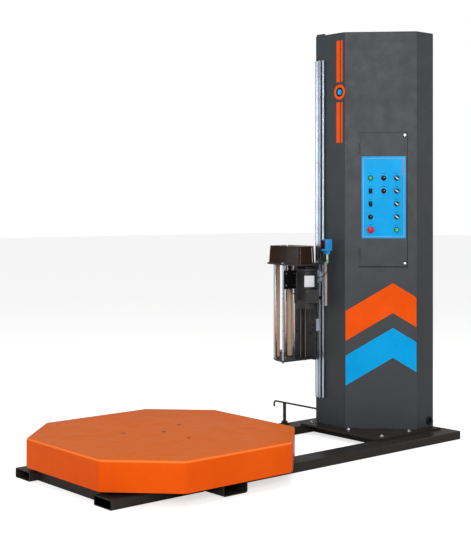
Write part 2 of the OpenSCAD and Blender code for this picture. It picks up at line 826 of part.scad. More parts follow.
// ---- Film tail holder ----
module tail_post_socket() {
  color(dark_grey) difference() {
    union() {
      translate([post_at[0], post_at[1], tube_h]) cylinder(r = 19, h = 18);
      translate([post_at[0] - 24, post_at[1] - 24, tube_h]) cube([48, 48, 4]);
    }
    translate([post_at[0], post_at[1], tube_h + 4]) cylinder(r = post_r + fit, h = 20);
  }
  color(zinc) translate([post_at[0], post_at[1], tube_h + 11]) rotate([0, 0, 219]) {
    translate([18, 0, 0]) rotate([0, 90, 0]) cylinder(r = 3, h = 12);
    translate([30 - e, -7, -2]) cube([3, 14, 4]);
  }
}

module film_tail_post() {
  far_end = 494;
  near_end = 112;
  color(dark_grey) translate([post_at[0], 0, 0]) {
    translate([0, post_at[1], tube_h + 5]) cylinder(r = post_r, h = bar_z - tube_h - 5);
    translate([0, 0, bar_z]) peg(bar_r, near_end + 15, far_end - 15);
    tail_hook(far_end - 15, 1, 20);
    tail_hook(near_end + 15, -1, 32);
  }
}

// End of the bar: a quarter bend and a short drop
module tail_hook(y, way, drop) {
  bend = 15;
  translate([0, y, bar_z - bend]) mirror([0, way < 0 ? 1 : 0, 0]) {
    rotate([0, -90, 0]) rotate_extrude(angle = 90) translate([bend, 0]) circle(bar_r);
    translate([0, bend, -drop]) cylinder(r = bar_r, h = drop);
  }
}

side_tubes();
cross_beams();
centre_cross_tube();
turntable_supports();
turntable_gearmotor();
drive_chain();
mast_foot_plate();
foot_bolts();
mast_column();
mast_back_cover();
guide_rail();
lift_gearmotor();
lift_chain();
cable_grommet();
control_enclosure();
hinge_leaves();
tail_post_socket();
turntable_cover();
turntable_frame();
support_roller(0);  // support_roller_1
support_roller(1);  // support_roller_2
support_roller(2);  // support_roller_3
support_roller(3);  // support_roller_4
drive_sprocket();
upper_lift_sprocket();
lower_lift_sprocket();
carriage_back_plate();
carriage_top_plate();
carriage_bottom_plate();
gear_cover();
tie_rods();
guide_shoes();
carriage_motor();
junction_box();
sensor_bracket();
photo_eye();
sensor_cable();
motor_pulley();
stretch_belts();
prestretch_roller_1();
prestretch_roller_2();
idler_roller(idler_1);  // idler_roller_1
idler_roller(idler_2);  // idler_roller_2
idler_roller(idler_3);  // idler_roller_3
film_spindle();
control_door();
door_latch(latch_z[1], 0);  // door_latch_upper
door_latch(latch_z[0], 180);  // door_latch_lower
e_stop_button();
start_button();
speed_knob([columns[1], rows[0]]);  // speed_knob_1
speed_knob([columns[1], rows[1]]);  // speed_knob_2
speed_knob([columns[0], rows[3]]);  // speed_knob_3
selector([columns[2], rows[0]]);  // selector_1
selector([columns[2], rows[1]]);  // selector_2
selector([columns[2], rows[2]]);  // selector_3
selector([columns[2], rows[3]]);  // selector_4
rocker([columns[0], rows[1]]);  // rocker_1
rocker([columns[0], rows[2]]);  // rocker_2
film_tail_post();
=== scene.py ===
import bmesh
import bpy
import math
import random
import json
from mathutils import Euler, Matrix, Vector
from mathutils.geometry import tessellate_polygon


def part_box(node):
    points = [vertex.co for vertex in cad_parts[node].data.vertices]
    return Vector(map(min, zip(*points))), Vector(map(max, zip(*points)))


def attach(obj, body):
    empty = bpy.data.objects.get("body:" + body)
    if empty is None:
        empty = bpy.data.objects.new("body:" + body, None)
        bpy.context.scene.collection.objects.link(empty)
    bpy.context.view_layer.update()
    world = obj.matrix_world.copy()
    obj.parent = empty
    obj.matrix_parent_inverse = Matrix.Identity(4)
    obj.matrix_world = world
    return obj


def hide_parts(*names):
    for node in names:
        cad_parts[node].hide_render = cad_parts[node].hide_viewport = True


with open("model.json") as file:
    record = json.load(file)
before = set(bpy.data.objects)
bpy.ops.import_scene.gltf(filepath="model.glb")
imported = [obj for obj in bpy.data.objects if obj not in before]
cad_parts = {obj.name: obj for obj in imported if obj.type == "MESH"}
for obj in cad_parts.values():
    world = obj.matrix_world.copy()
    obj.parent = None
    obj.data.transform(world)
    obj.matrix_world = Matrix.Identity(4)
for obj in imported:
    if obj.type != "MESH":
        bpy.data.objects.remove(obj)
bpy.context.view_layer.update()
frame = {"nodes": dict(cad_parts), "record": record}

MM = 0.001
FILM = 0.35 * MM        # thickness of a printed film
INK = 0.12 * MM         # thickness of print on a film
SLOT_OF = {s["node"]: s["material_slot"] for s in frame["record"]["subparts"]}
BODY_OF = {n: b for b, ns in frame["record"]["behaviour"]["bodies"].items() for n in ns}


# ---------------------------------------------------------------- camera, light, floor
def camera():
    """A level camera at the height of a person's chest, looking at the control side of the mast."""
    heading = 49.66
    data = bpy.data.cameras.new("camera")
    data.sensor_width = 36
    data.lens = 77.27
    data.shift_y = -0.1134
    data.clip_end = 60
    cam = bpy.data.objects.new("camera", data)
    cam.location = (-3.512, -4.701, 1.361)
    cam.rotation_euler = (math.radians(90), 0, math.radians(heading - 90))
    bpy.context.scene.collection.objects.link(cam)
    bpy.context.scene.camera = cam


def area_light(name, at, look, size, power, colour=(1, 1, 1)):
    data = bpy.data.lights.new(name, "AREA")
    data.shape = "RECTANGLE"
    data.size, data.size_y = size
    data.energy = power
    data.color = colour
    lamp = bpy.data.objects.new(name, data)
    lamp.location = at
    lamp.rotation_euler = (Vector(look) - Vector(at)).to_track_quat("-Z", "Y").to_euler()
    bpy.context.scene.collection.objects.link(lamp)


def studio():
    """Plain pale floor and soft light: a big key behind the camera, weak side fills, a top light and
    a small flash that draws the bright lines along the folds."""
    mesh = bpy.data.meshes.new("studio_floor")
    bm = bmesh.new()
    bmesh.ops.create_grid(bm, x_segments=1, y_segments=1, size=40)
    bm.to_mesh(mesh)
    bm.free()
    floor = bpy.data.objects.new("studio_floor", mesh)
    floor.location.z = -0.0005
    bpy.context.scene.collection.objects.link(floor)
    m = bpy.data.materials.new("studio_floor")
    m.use_nodes = True
    bsdf = m.node_tree.nodes["Principled BSDF"]
    for socket, value in (("Base Color", (0.86, 0.86, 0.855, 1)), ("Roughness", 0.75), ("Specular IOR Level", 0.2),
                          ("Emission Color", (1, 1, 1, 1))):
        bsdf.inputs[socket].default_value = value
    lift = m.node_tree.nodes.new("ShaderNodeLightPath")
    glow = m.node_tree.nodes.new("ShaderNodeMath")
    glow.operation = "MULTIPLY"
    glow.inputs[1].default_value = 0.6
    m.node_tree.links.new(lift.outputs["Is Camera Ray"], glow.inputs[0])
    m.node_tree.links.new(glow.outputs["Value"], bsdf.inputs["Emission Strength"])
    mesh.materials.append(m)
    world = bpy.data.worlds.new("studio")
    world.use_nodes = True
    tree = world.node_tree
    back = tree.nodes["Background"]
    back.inputs["Color"].default_value = (1, 1, 1, 1)
    seen = tree.nodes.new("ShaderNodeLightPath")
    level = tree.nodes.new("ShaderNodeMapRange")
    level.inputs["To Min"].default_value = 0.36
    level.inputs["To Max"].default_value = 1.0
    tree.links.new(seen.outputs["Is Camera Ray"], level.inputs["Value"])
    tree.links.new(level.outputs["Result"], back.inputs["Strength"])
    bpy.context.scene.world = world
    area_light("key", (-3.2, -5.4, 2.7), (0.7, 0.0, 0.9), (2.4, 2.6), 195, (0.975, 0.985, 1))
    area_light("left", (-5.2, 0.9, 2.2), (1.2, 0.0, 1.1), (0.7, 3.0), 30, (0.90, 0.96, 1))
    area_light("rim", (-3.6, 6.1, 1.7), (1.3, 0.2, 1.2), (0.8, 3.0), 26, (0.88, 0.95, 1))
    area_light("right", (5.6, -2.2, 2.1), (1.5, 0.0, 0.8), (1.2, 2.6), 24, (1, 0.86, 0.72))
    area_light("flash", (-3.9, -4.1, 2.1), (0.9, 0.0, 0.8), (0.35, 0.6), 34, (1, 0.99, 0.97))
    area_light("top", (0.6, 0.0, 5.0), (0.6, 0.0, 0.0), (3.0, 3.0), 75)
    bpy.context.scene.view_settings.view_transform = "Standard"


# ---------------------------------------------------------------- procedural materials
class Finish:
    """A Principled material with short calls for the nodes that its colour, roughness and bump need."""

    def __init__(self, name, colour, roughness=0.5, metallic=0.0, **sockets):
        self.mat = bpy.data.materials.new(name)
        self.mat.use_nodes = True
        self.tree = self.mat.node_tree
        self.bsdf = self.tree.nodes["Principled BSDF"]
        self.bsdf.inputs["Base Color"].default_value = (*colour, 1)
        self.bsdf.inputs["Roughness"].default_value = roughness
        self.bsdf.inputs["Metallic"].default_value = metallic
        for key, value in sockets.items():
            self.bsdf.inputs[key.replace("_", " ")].default_value = value
        self.where = self.node("ShaderNodeTexCoord").outputs["Object"]

    def node(self, kind, **settings):
        made = self.tree.nodes.new(kind)
        for key, value in settings.items():
            setattr(made, key, value)
        return made

    def join(self, source, target):
        self.tree.links.new(source, target)

    def stretched(self, scale, rotate=(0, 0, 0)):
        """Coordinates scaled unevenly, for a grain that runs one way."""
        m = self.node("ShaderNodeMapping")
        m.inputs["Scale"].default_value = scale
        m.inputs["Rotation"].default_value = rotate
        self.join(self.where, m.inputs["Vector"])
        return m.outputs["Vector"]

    def noise(self, scale, detail=4.0, rough=0.55, where=None, distort=0.0):
        n = self.node("ShaderNodeTexNoise")
        n.inputs["Scale"].default_value = scale
        n.inputs["Detail"].default_value = detail
        n.inputs["Roughness"].default_value = rough
        n.inputs["Distortion"].default_value = distort
        self.join(where or self.where, n.inputs["Vector"])
        return n.outputs["Fac"]

    def cells(self, scale, where=None, feature="F1"):
        v = self.node("ShaderNodeTexVoronoi", feature=feature)
        v.inputs["Scale"].default_value = scale
        self.join(where or self.where, v.inputs["Vector"])
        return v.outputs["Distance"]

    def span(self, value, low, high, to_low=0.0, to_high=1.0):
        """Maps low..high to to_low..to_high, clamped."""
        r = self.node("ShaderNodeMapRange")
        for key, number in (("From Min", low), ("From Max", high), ("To Min", to_low), ("To Max", to_high)):
            r.inputs[key].default_value = number
        self.join(value, r.inputs["Value"])
        return r.outputs["Result"]

    def math(self, how, a, b):
        m = self.node("ShaderNodeMath", operation=how)
        for socket, value in zip(m.inputs, (a, b)):
            if isinstance(value, (int, float)):
                socket.default_value = value
            else:
                self.join(value, socket)
        return m.outputs["Value"]

    def blend(self, factor, a, b):
        """Mixes two colours, each a tuple or a socket."""
        m = self.node("ShaderNodeMix", data_type="RGBA")
        self.join(factor, m.inputs["Factor"])
        for socket, value in ((m.inputs[6], a), (m.inputs[7], b)):
            if isinstance(value, tuple):
                socket.default_value = (*value, 1)
            else:
                self.join(value, socket)
        return m.outputs[2]

    def edges(self, radius=0.0015, low=0.02, high=0.12):
        """About 1 along sharp outer edges and 0 on flat faces."""
        b = self.node("ShaderNodeBevel", samples=4)
        b.inputs["Radius"].default_value = radius
        g = self.node("ShaderNodeNewGeometry")
        d = self.node("ShaderNodeVectorMath", operation="DOT_PRODUCT")
        self.join(b.outputs["Normal"], d.inputs[0])
        self.join(g.outputs["Normal"], d.inputs[1])
        return self.span(self.math("SUBTRACT", 1.0, d.outputs["Value"]), low, high)

    def colour(self, socket):
        self.join(socket, self.bsdf.inputs["Base Color"])

    def roughness(self, socket):
        self.join(socket, self.bsdf.inputs["Roughness"])

    def bump(self, *layers):
        """Stacks bumps, each (height socket, distance in metres, strength)."""
        normal = None
        for height, distance, strength in layers:
            b = self.node("ShaderNodeBump")
            b.inputs["Distance"].default_value = distance
            b.inputs["Strength"].default_value = strength
            self.join(height, b.inputs["Height"])
            if normal:
                self.join(normal, b.inputs["Normal"])
            normal = b.outputs["Normal"]
        self.join(normal, self.bsdf.inputs["Normal"])


def powder_coat(name, colour, rough=0.48, grain=700, wear=(0.30, 0.30, 0.30), dust=0.05):
    """Sprayed and baked powder: a fine leathery grain, slow colour drift, dust, and rubbed edges."""
    f = Finish(name, colour, rough, Specular_IOR_Level=0.30)
    light = tuple(min(1, c * 1.10 + dust * 0.06) for c in colour)
    dark = tuple(c * 0.93 for c in colour)
    drift = f.span(f.noise(1.6, 5, 0.6), 0.30, 0.72)
    speckle = f.span(f.noise(grain * 1.3, 2), 0.3, 0.75)
    body = f.blend(drift, dark, light)
    body = f.blend(f.math("MULTIPLY", speckle, 0.30), body, tuple(c * 1.6 for c in colour))
    patch = f.math("MULTIPLY", f.span(f.noise(9, 6, 0.7), 0.52, 0.75), 0.5)
    rub = f.math("MULTIPLY", f.edges(0.0012), f.span(f.noise(38, 5, 0.7), 0.5, 0.62, 0.0, 0.75))
    f.colour(f.blend(rub, f.blend(f.math("MULTIPLY", patch, 0.25), body, light), wear))
    f.roughness(f.span(f.noise(14, 6, 0.65), 0.3, 0.75, rough - 0.07, rough + 0.10))
    f.bump((f.noise(grain, 3, 0.6), 0.00025, 0.55), (f.cells(grain * 0.45), 0.0002, 0.35),
           (f.noise(3.0, 2), 0.0012, 0.06))
    return f.mat


def orange_powder(name, colour):
    """Smooth powder coat on the deck: orange peel, faint scuffs from pallets, a top tinted yellower as a painted
    reflection, and folds painted paler as a painted highlight.
    """
    f = Finish(name, colour, 0.34, Specular_IOR_Level=0.05, Coat_Weight=0.04, Coat_Roughness=0.12)
    pale = (min(1, colour[0] * 1.06), colour[1] * 1.22, colour[2])
    deep = (colour[0] * 0.94, colour[1] * 0.88, colour[2] * 0.8)
    body = f.blend(f.span(f.noise(2.4, 5, 0.62), 0.30, 0.72), deep, pale)
    normal = f.node("ShaderNodeSeparateXYZ")
    f.join(f.node("ShaderNodeNewGeometry").outputs["Normal"], normal.inputs[0])
    tilt = normal.outputs["Z"]
    # Faces that look up are tinted yellower: a painted reflection of the surroundings seen at a grazing angle.
    body = f.blend(f.span(tilt, 0.86, 0.99), body, (colour[0] * 0.97, colour[1] * 1.55, colour[2]))
    # The bends between the top and the sides are painted paler: a painted highlight where the folds catch the light.
    fold = f.math("MULTIPLY", f.span(tilt, 0.12, 0.40), f.span(tilt, 0.95, 0.75))
    body = f.blend(f.math("MULTIPLY", fold, 0.75), body, (1.0, 0.24, 0.05))
    scratch_a = f.noise(60, 2, 0.5, f.stretched((1.0, 0.03, 1.0), (0, 0, 0.5)))
    scratch_b = f.noise(70, 2, 0.5, f.stretched((0.03, 1.0, 1.0), (0, 0, -0.3)))
    marks = f.math("MAXIMUM", f.span(scratch_a, 0.70, 0.76), f.span(scratch_b, 0.71, 0.77))
    marks = f.math("MULTIPLY", marks, f.span(f.noise(3.5, 3), 0.48, 0.62, 0.0, 0.30))
    body = f.blend(marks, body, (0.82, 0.24, 0.05))
    rub = f.math("MULTIPLY", f.edges(0.002), f.span(f.noise(30, 5, 0.7), 0.53, 0.62, 0.0, 0.6))
    f.colour(f.blend(rub, body, (0.80, 0.20, 0.05)))
    f.roughness(f.span(f.noise(7, 6, 0.7), 0.3, 0.75, 0.27, 0.46))
    f.bump((f.noise(260, 3, 0.5), 0.0003, 0.35), (f.noise(1300, 2), 0.00006, 0.3), (marks, 0.0001, -0.4))
    return f.mat


def gloss_enamel(name, colour, rough=0.24, dust=0.2, shine=0.18):
    """Brushed or sprayed machine enamel: glossy, with orange peel, dust and a few chips."""
    f = Finish(name, colour, rough, Specular_IOR_Level=shine, Coat_Weight=shine * 0.5, Coat_Roughness=0.12)
    haze = tuple(c + 0.02 for c in colour)
    powder = f.math("MULTIPLY", f.span(f.noise(6, 7, 0.7), 0.45, 0.8), dust)
    chip = f.math("MULTIPLY", f.edges(0.0015), f.span(f.noise(55, 5, 0.7), 0.52, 0.58, 0.0, 0.8))
    f.colour(f.blend(chip, f.blend(powder, colour, haze), (0.22, 0.21, 0.20)))
    f.roughness(f.span(f.noise(10, 6, 0.7), 0.3, 0.8, rough, rough + 0.22))
    f.bump((f.noise(190, 3, 0.5), 0.0003, 0.3), (f.noise(5, 3), 0.001, 0.08))
    return f.mat


def bare_metal(name, colour, rough=0.28, along=(1, 1, 1), grain=300, stain=0.3):
    """Plated, drawn or turned metal. along has a small number on the axis that the grain runs along."""
    f = Finish(name, colour, rough, 1.0)
    lines = f.noise(grain, 4, 0.6, f.stretched(along))
    dull = f.span(f.noise(12, 6, 0.7), 0.45, 0.75)
    shade = tuple(c * (1 - stain) for c in colour)
    body = f.blend(f.span(lines, 0.35, 0.65), tuple(c * 0.9 for c in colour), colour)
    f.colour(f.blend(f.math("MULTIPLY", dull, 0.6), body, shade))
    f.roughness(f.math("ADD", f.span(lines, 0.3, 0.7, rough - 0.06, rough + 0.08),
                       f.math("MULTIPLY", dull, 0.12)))
    f.bump((lines, 0.00008, 0.35), (f.noise(8, 3), 0.0006, 0.05))
    return f.mat


def zinc_plate(name):
    """Bright zinc: bluish grey flakes of slightly different tone, with a faint yellow passivate."""
    f = Finish(name, (0.62, 0.65, 0.70), 0.26, 1.0)
    flakes = f.cells(140)
    body = f.blend(f.span(flakes, 0.1, 0.7), (0.58, 0.61, 0.66), (0.74, 0.76, 0.80))
    tint = f.math("MULTIPLY", f.span(f.noise(25, 4), 0.5, 0.75), 0.35)
    f.colour(f.blend(tint, body, (0.66, 0.62, 0.48)))
    f.roughness(f.span(f.noise(90, 5), 0.3, 0.75, 0.18, 0.38))
    f.bump((f.noise(420, 3), 0.00006, 0.4))
    return f.mat


def cast_paint(name, colour):
    """Painted casting: coarse sand-cast skin under a satin coat."""
    f = Finish(name, colour, 0.45)
    f.colour(f.blend(f.span(f.noise(9, 6, 0.7), 0.4, 0.75), colour, tuple(c * 1.6 + 0.01 for c in colour)))
    f.roughness(f.span(f.noise(30, 5), 0.3, 0.75, 0.36, 0.6))
    f.bump((f.noise(330, 4, 0.65), 0.0006, 0.5), (f.cells(150), 0.0005, 0.25))
    return f.mat


def moulded(name, colour, rough=0.4, grain=900, depth=0.0001, shine=0.4):
    """Injection-moulded plastic with a spark-eroded grain and faint handling marks."""
    f = Finish(name, colour, rough, Specular_IOR_Level=shine)
    f.colour(f.blend(f.span(f.noise(40, 5, 0.65), 0.4, 0.8), colour, tuple(c * 1.15 + 0.004 for c in colour)))
    f.roughness(f.span(f.noise(55, 5), 0.3, 0.75, rough - 0.06, rough + 0.1))
    f.bump((f.noise(grain, 2), depth, 0.45))
    return f.mat


def ground_rubber(name, colour):
    """Roller rubber: turned on a lathe, so fine rings round it, with darker film marks."""
    f = Finish(name, colour, 0.55)
    rings = f.noise(500, 3, 0.6, f.stretched((0.02, 0.02, 1)))
    body = f.blend(f.span(rings, 0.3, 0.7), tuple(c * 0.88 for c in colour), tuple(min(1, c * 1.08) for c in colour))
    smear = f.span(f.noise(10, 5, 0.7, f.stretched((1, 1, 0.4))), 0.5, 0.8, 0.0, 0.5)
    f.colour(f.blend(smear, body, tuple(c * 0.62 for c in colour)))
    f.roughness(f.span(f.noise(22, 5), 0.3, 0.75, 0.42, 0.62))
    f.bump((rings, 0.00012, 0.5), (f.noise(900, 2), 0.0001, 0.3))
    return f.mat


def clear_red(name):
    """Dark red filter window of the photo-eye."""
    f = Finish(name, (0.05, 0.002, 0.003), 0.06, Specular_IOR_Level=0.25)
    f.colour(f.blend(f.span(f.noise(120, 3), 0.4, 0.7), (0.020, 0.001, 0.002), (0.085, 0.003, 0.004)))
    f.bump((f.noise(60, 2), 0.0002, 0.1))
    return f.mat


def printed(name, colour, rough=0.3):
    """Printed film label: flat ink with a very fine orange-peel laminate over it."""
    f = Finish(name, colour, rough, Specular_IOR_Level=0.05)
    drift = f.span(f.noise(6, 4), 0.35, 0.7)
    f.colour(f.blend(drift, tuple(c * 0.93 for c in colour), tuple(min(1, c * 1.05 + 0.004) for c in colour)))
    f.roughness(f.span(f.noise(18, 5), 0.3, 0.75, rough - 0.05, rough + 0.1))
    f.bump((f.noise(700, 3), 0.00008, 0.3), (f.noise(4, 2), 0.0006, 0.05))
    return f.mat


FINISHES = {
    "frame_paint": (gloss_enamel, (0.025, 0.021, 0.018), 0.26, 0.2, 0.12),
    "mast_powder": (powder_coat, (0.038, 0.043, 0.048)),
    "deck_orange": (orange_powder, (0.78, 0.088, 0.001)),
    "zinc": (zinc_plate,),
    # Lighter, smoother rail metal for the strips where the shoes run: real polish, and partly a painted highlight.
    "rail_polish": (bare_metal, (0.80, 0.88, 0.96), 0.22, (1, 1, 0.01), 420, 0.08),
    "rail_alloy": (bare_metal, (0.56, 0.63, 0.72), 0.32, (1, 1, 0.01), 420, 0.2),
    "machine_steel": (bare_metal, (0.42, 0.41, 0.40), 0.38, (1, 1, 0.1), 300, 0.4),
    "chain_steel": (bare_metal, (0.20, 0.18, 0.16), 0.42, (1, 1, 1), 200, 0.5),
    "cast_housing": (cast_paint, (0.045, 0.06, 0.085)),
    "roller_chrome": (bare_metal, (0.84, 0.84, 0.86), 0.12, (1, 1, 0.03), 500, 0.1),
    "tan_rubber": (ground_rubber, (0.58, 0.42, 0.27)),
    "black_gloss": (gloss_enamel, (0.026, 0.013, 0.006), 0.07, 0.03, 0.07),
    "black_motor": (cast_paint, (0.014, 0.014, 0.014)),
    "black_plastic": (moulded, (0.006, 0.006, 0.0065), 0.34, 900, 0.0001, 0.12),
    "white_plastic": (moulded, (0.70, 0.70, 0.68), 0.45),
    "sensor_blue": (moulded, (0.02, 0.30, 0.72), 0.28, 700, 0.00005),
    "red_plastic": (moulded, (0.52, 0.006, 0.006), 0.24, 500, 0.00004, 0.2),
    "green_plastic": (moulded, (0.05, 0.42, 0.13), 0.22, 500, 0.00004),
    "belt_rubber": (moulded, (0.014, 0.014, 0.014), 0.6, 600, 0.0002),
    "cable_black": (moulded, (0.012, 0.012, 0.012), 0.45, 900, 0.0001),
    "label_blue": (printed, (0.0, 0.39, 0.84)),
    "label_orange": (printed, (0.92, 0.092, 0.0)),
    "label_grey": (printed, (0.42, 0.36, 0.40)),
    "label_white": (printed, (0.78, 0.80, 0.83), 0.4),
    "label_black": (printed, (0.010, 0.010, 0.011)),
    # Pale matte stand-in for plated steel: its lightness is a painted reflection.
    "galvanised": (moulded, (0.46, 0.42, 0.39), 0.32, 300, 0.0001),
    "red_window": (clear_red,),
    "label_red": (printed, (0.55, 0.012, 0.03)),
    "shoe_plastic": (moulded, (0.40, 0.45, 0.52), 0.45),
    "pale_green": (moulded, (0.10, 0.50, 0.20), 0.3, 500, 0.00005),
    # Lighter and dustier copy of the frame enamel for the tail post: the lightness is a painted highlight.
    "worn_paint": (gloss_enamel, (0.034, 0.029, 0.025), 0.30, 0.5),
    "cream_plastic": (moulded, (0.74, 0.70, 0.56), 0.4),
    "yellow_plastic": (moulded, (0.75, 0.48, 0.02), 0.35),
}
FINISH = {name: make(name, *how) for name, (make, *how) in FINISHES.items()}


# ---------------------------------------------------------------- mesh building
def shift(x, y, z=0.0):
    return Matrix.Translation((x, y, z))


def rotation(angle, axis):
    return Matrix.Rotation(angle, 4, axis)


TO_NEAR = rotation(math.pi / 2, "X")       # turn a mesh's own Z towards -Y, +X, -X or down
TO_RIGHT = rotation(math.pi / 2, "Y")
TO_LEFT = rotation(-math.pi / 2, "Y")
TO_FLOOR = rotation(math.pi, "X")
LEFT_FACE = Matrix(((0, 0, -1, 0), (-1, 0, 0, 0), (0, 1, 0, 0), (0, 0, 0, 1)))     # own X to -Y, Y up, Z to -X


def around(count, axis="Z", whole=2 * math.pi):
    """Evenly spaced rotations."""
    return [rotation(whole * k / count, axis) for k in range(count)]


def finished(bm, name, smooth=35):
    """The bmesh as a mesh with its faces turned outward, smoothed up to an angle in degrees unless that is 0."""
    bmesh.ops.recalc_face_normals(bm, faces=bm.faces)
    mesh = bpy.data.meshes.new(name)
    bm.to_mesh(mesh)
    bm.free()
    if smooth:
        smooth_by_angle(mesh, smooth)
    return mesh


def ring_verts(bm, radius, z, steps, flute=None):
    """A circle of vertices; flute(angle) is added to its radius."""
    ring = []
    for k in range(steps):
        a = 2 * math.pi * k / steps
        r = radius + (flute(a) if flute else 0)
        ring.append(bm.verts.new((r * math.cos(a), r * math.sin(a), z)))
    return ring


def skin_rings(bm, rings, foot=True):
    """Faces between rings of equal length, closed over the last one and, with foot, under the first."""
    for low, high in zip(rings, rings[1:]):
        for k in range(len(low)):
            n = (k + 1) % len(low)
            bm.faces.new((low[k], low[n], high[n], high[k]))
    if foot:
        bm.faces.new(list(reversed(rings[0])))
    bm.faces.new(rings[-1])


def add_object(name, mesh, finish, body, *replaced, slot=None):
    """Links a mesh, paints it, and hangs it on its CAD body."""
    made = bpy.data.objects.new(name, mesh)
    bpy.context.scene.collection.objects.link(made)
    mesh.materials.clear()
    mesh.materials.append(FINISH[finish])
    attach(made, body)
    if replaced:
        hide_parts(*replaced)
    return made


def smooth_by_angle(mesh, degrees=35):
    mesh.shade_smooth()
    mesh.set_sharp_from_angle(angle=math.radians(degrees))


def soften(made, width, segments=2, angle=35):
    """Rounds a piece's hard edges, then splits faces of five or more sides into triangles."""
    bevel = made.modifiers.new("soften", "BEVEL")
    bevel.width = width * MM
    bevel.segments = segments
    bevel.limit_method = "ANGLE"
    bevel.angle_limit = math.radians(angle)
    bevel.harden_normals = True
    bevel.use_clamp_overlap = True
    made.modifiers.new("split", "TRIANGULATE").min_vertices = 5
    return made


def rounded_node(node, width, finish=None, rings=False):
    """A CAD node's own shape with welded facets and rounded edges, standing for that node.

    rings: the flat faces that run round an opening are split into triangles before the rounding."""
    source = frame["nodes"][node]
    mesh = source.data.copy()
    bm = bmesh.new()
    bm.from_mesh(mesh)
    bmesh.ops.remove_doubles(bm, verts=bm.verts, dist=2e-6)
    bmesh.ops.dissolve_limit(bm, angle_limit=math.radians(0.6), verts=bm.verts, edges=bm.edges)
    if rings:
        bmesh.ops.triangulate(bm, faces=[face for face in bm.faces if len(face.verts) > 8])
    bm.to_mesh(mesh)
    bm.free()
    if mesh.has_custom_normals:
        mesh.attributes.remove(mesh.attributes["custom_normal"])
    smooth_by_angle(mesh)
    made = add_object(node + "_skin", mesh, finish or SLOT_OF[node], BODY_OF[node], node)
    return soften(made, width)


def fold_edges(made, width, area, segments=4):
    """Marks the bends between large faces, and rounds them with a radius of their own."""
    mesh = made.data
    bm = bmesh.new()
    bm.from_mesh(mesh)
    weight = bm.edges.layers.float.new("bevel_weight_edge")
    for edge in bm.edges:
        if len(edge.link_faces) != 2:
            continue
        large = all(face.calc_area() > area for face in edge.link_faces)
        if large and edge.calc_face_angle(0) > math.radians(30):
            edge[weight] = 1
    bm.to_mesh(mesh)
    bm.free()
    smooth_by_angle(mesh)
    bevel = made.modifiers.new("fold", "BEVEL")
    bevel.width = width * MM
    bevel.segments = segments
    bevel.limit_method = "WEIGHT"
    bevel.harden_normals = True
    bevel.use_clamp_overlap = True
    made.modifiers.move(len(made.modifiers) - 1, 0)
    return made


def extrude_outline(name, outline, low, high):
    """Closed prism mesh from a plan outline, in metres."""
    bm = bmesh.new()
    skin_rings(bm, [[bm.verts.new((x, y, z)) for x, y in outline] for z in (low, high)])
    return finished(bm, name, 0)


def turned(name, profile, steps=32):
    """Mesh turned round Z from (radius, height) points, closed at both ends."""
    bm = bmesh.new()
    rings = [ring_verts(bm, radius, height, steps if radius > 1e-7 else 1) for radius, height in profile]
    for low, high in zip(rings, rings[1:]):
        for k in range(steps):
            n = (k + 1) % steps
            quad = [low[k % len(low)], low[n % len(low)], high[n % len(high)], high[k % len(high)]]
            corners = list(dict.fromkeys(quad))
            if len(corners) > 2:
                bm.faces.new(corners)
    for ring, flip in ((rings[0], True), (rings[-1], False)):
        if len(ring) > 2:
            bm.faces.new(list(reversed(ring)) if flip else ring)
    return finished(bm, name)


def turned_mm(name, profile, steps=32):
    return turned(name, [(radius * MM, height * MM) for radius, height in profile], steps)


def merged(name, meshes):
    """One mesh from several (mesh, matrix) pairs."""
    bm = bmesh.new()
    for mesh, matrix in meshes:
        start = len(bm.verts)
        bm.from_mesh(mesh)
        bm.verts.ensure_lookup_table()
        bmesh.ops.transform(bm, matrix=matrix, verts=bm.verts[start:])
    return finished(bm, name)


def add_parts(name, parts, *how, **slot):
    """Merges (mesh, matrix) pairs into one piece; how is as in add_object, and slot is not used."""
    return add_object(name, merged(name, parts), *how, **slot)


def cuboid(low, high):
    outline = [(low[0], low[1]), (high[0], low[1]), (high[0], high[1]), (low[0], high[1])]
    return extrude_outline("cuboid", outline, low[2], high[2])


def sweep(name, route, radius, sides=12):
    """Round tube mesh along a smooth route."""
    curve = bpy.data.curves.new(name, "CURVE")
    curve.dimensions = "3D"
    curve.bevel_depth = radius
    curve.bevel_resolution = sides // 4
    curve.use_fill_caps = True
    spline = curve.splines.new("NURBS")
    spline.points.add(len(route) - 1)
    for point, at in zip(spline.points, route):
        point.co = (*at, 1)
    spline.use_endpoint_u = True
    spline.order_u = 3
    curve.resolution_u = 6
    holder = bpy.data.objects.new(name, curve)
    bpy.context.scene.collection.objects.link(holder)
    bpy.context.view_layer.update()
    mesh = bpy.data.meshes.new_from_object(holder.evaluated_get(bpy.context.evaluated_depsgraph_get()))
    bpy.data.objects.remove(holder)
    bpy.data.curves.remove(curve)
    smooth_by_angle(mesh)
    return mesh


# ---------------------------------------------------------------- the slanted control face
FACE_OUT = Vector((-1, -1, 0)).normalized()
FACE_ALONG = Vector((1, -1, 0)).normalized()


def face_start():
    """The slanted face's left edge, at floor level."""
    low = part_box("mast_column")[0]
    return Vector((low.x, low.y + CUT, 0))


def face_matrix(along, up, out=0.0):
    """Local X runs along the face, Y up it and Z out of it. along is measured from the face's left edge."""
    at = face_start() + FACE_ALONG * along + FACE_OUT * out + Vector((0, 0, up))
    turn = Matrix((FACE_ALONG, Vector((0, 0, 1)), FACE_OUT)).transposed().to_4x4()
    return Matrix.Translation(at) @ turn


def slanted_cut():
    """How far the slanted face cuts off the mast's near left corner, from the column's own vertices."""
    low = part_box("mast_column")[0]
    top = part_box("mast_foot_plate")[1].z
    near = [v.co.x for v in frame["nodes"]["mast_column"].data.vertices
            if abs(v.co.y - low.y) < 1e-4 and abs(v.co.z - top) < 1e-3]
    return min(near) - low.x


CUT = slanted_cut()
FACE_W = CUT * math.sqrt(2)


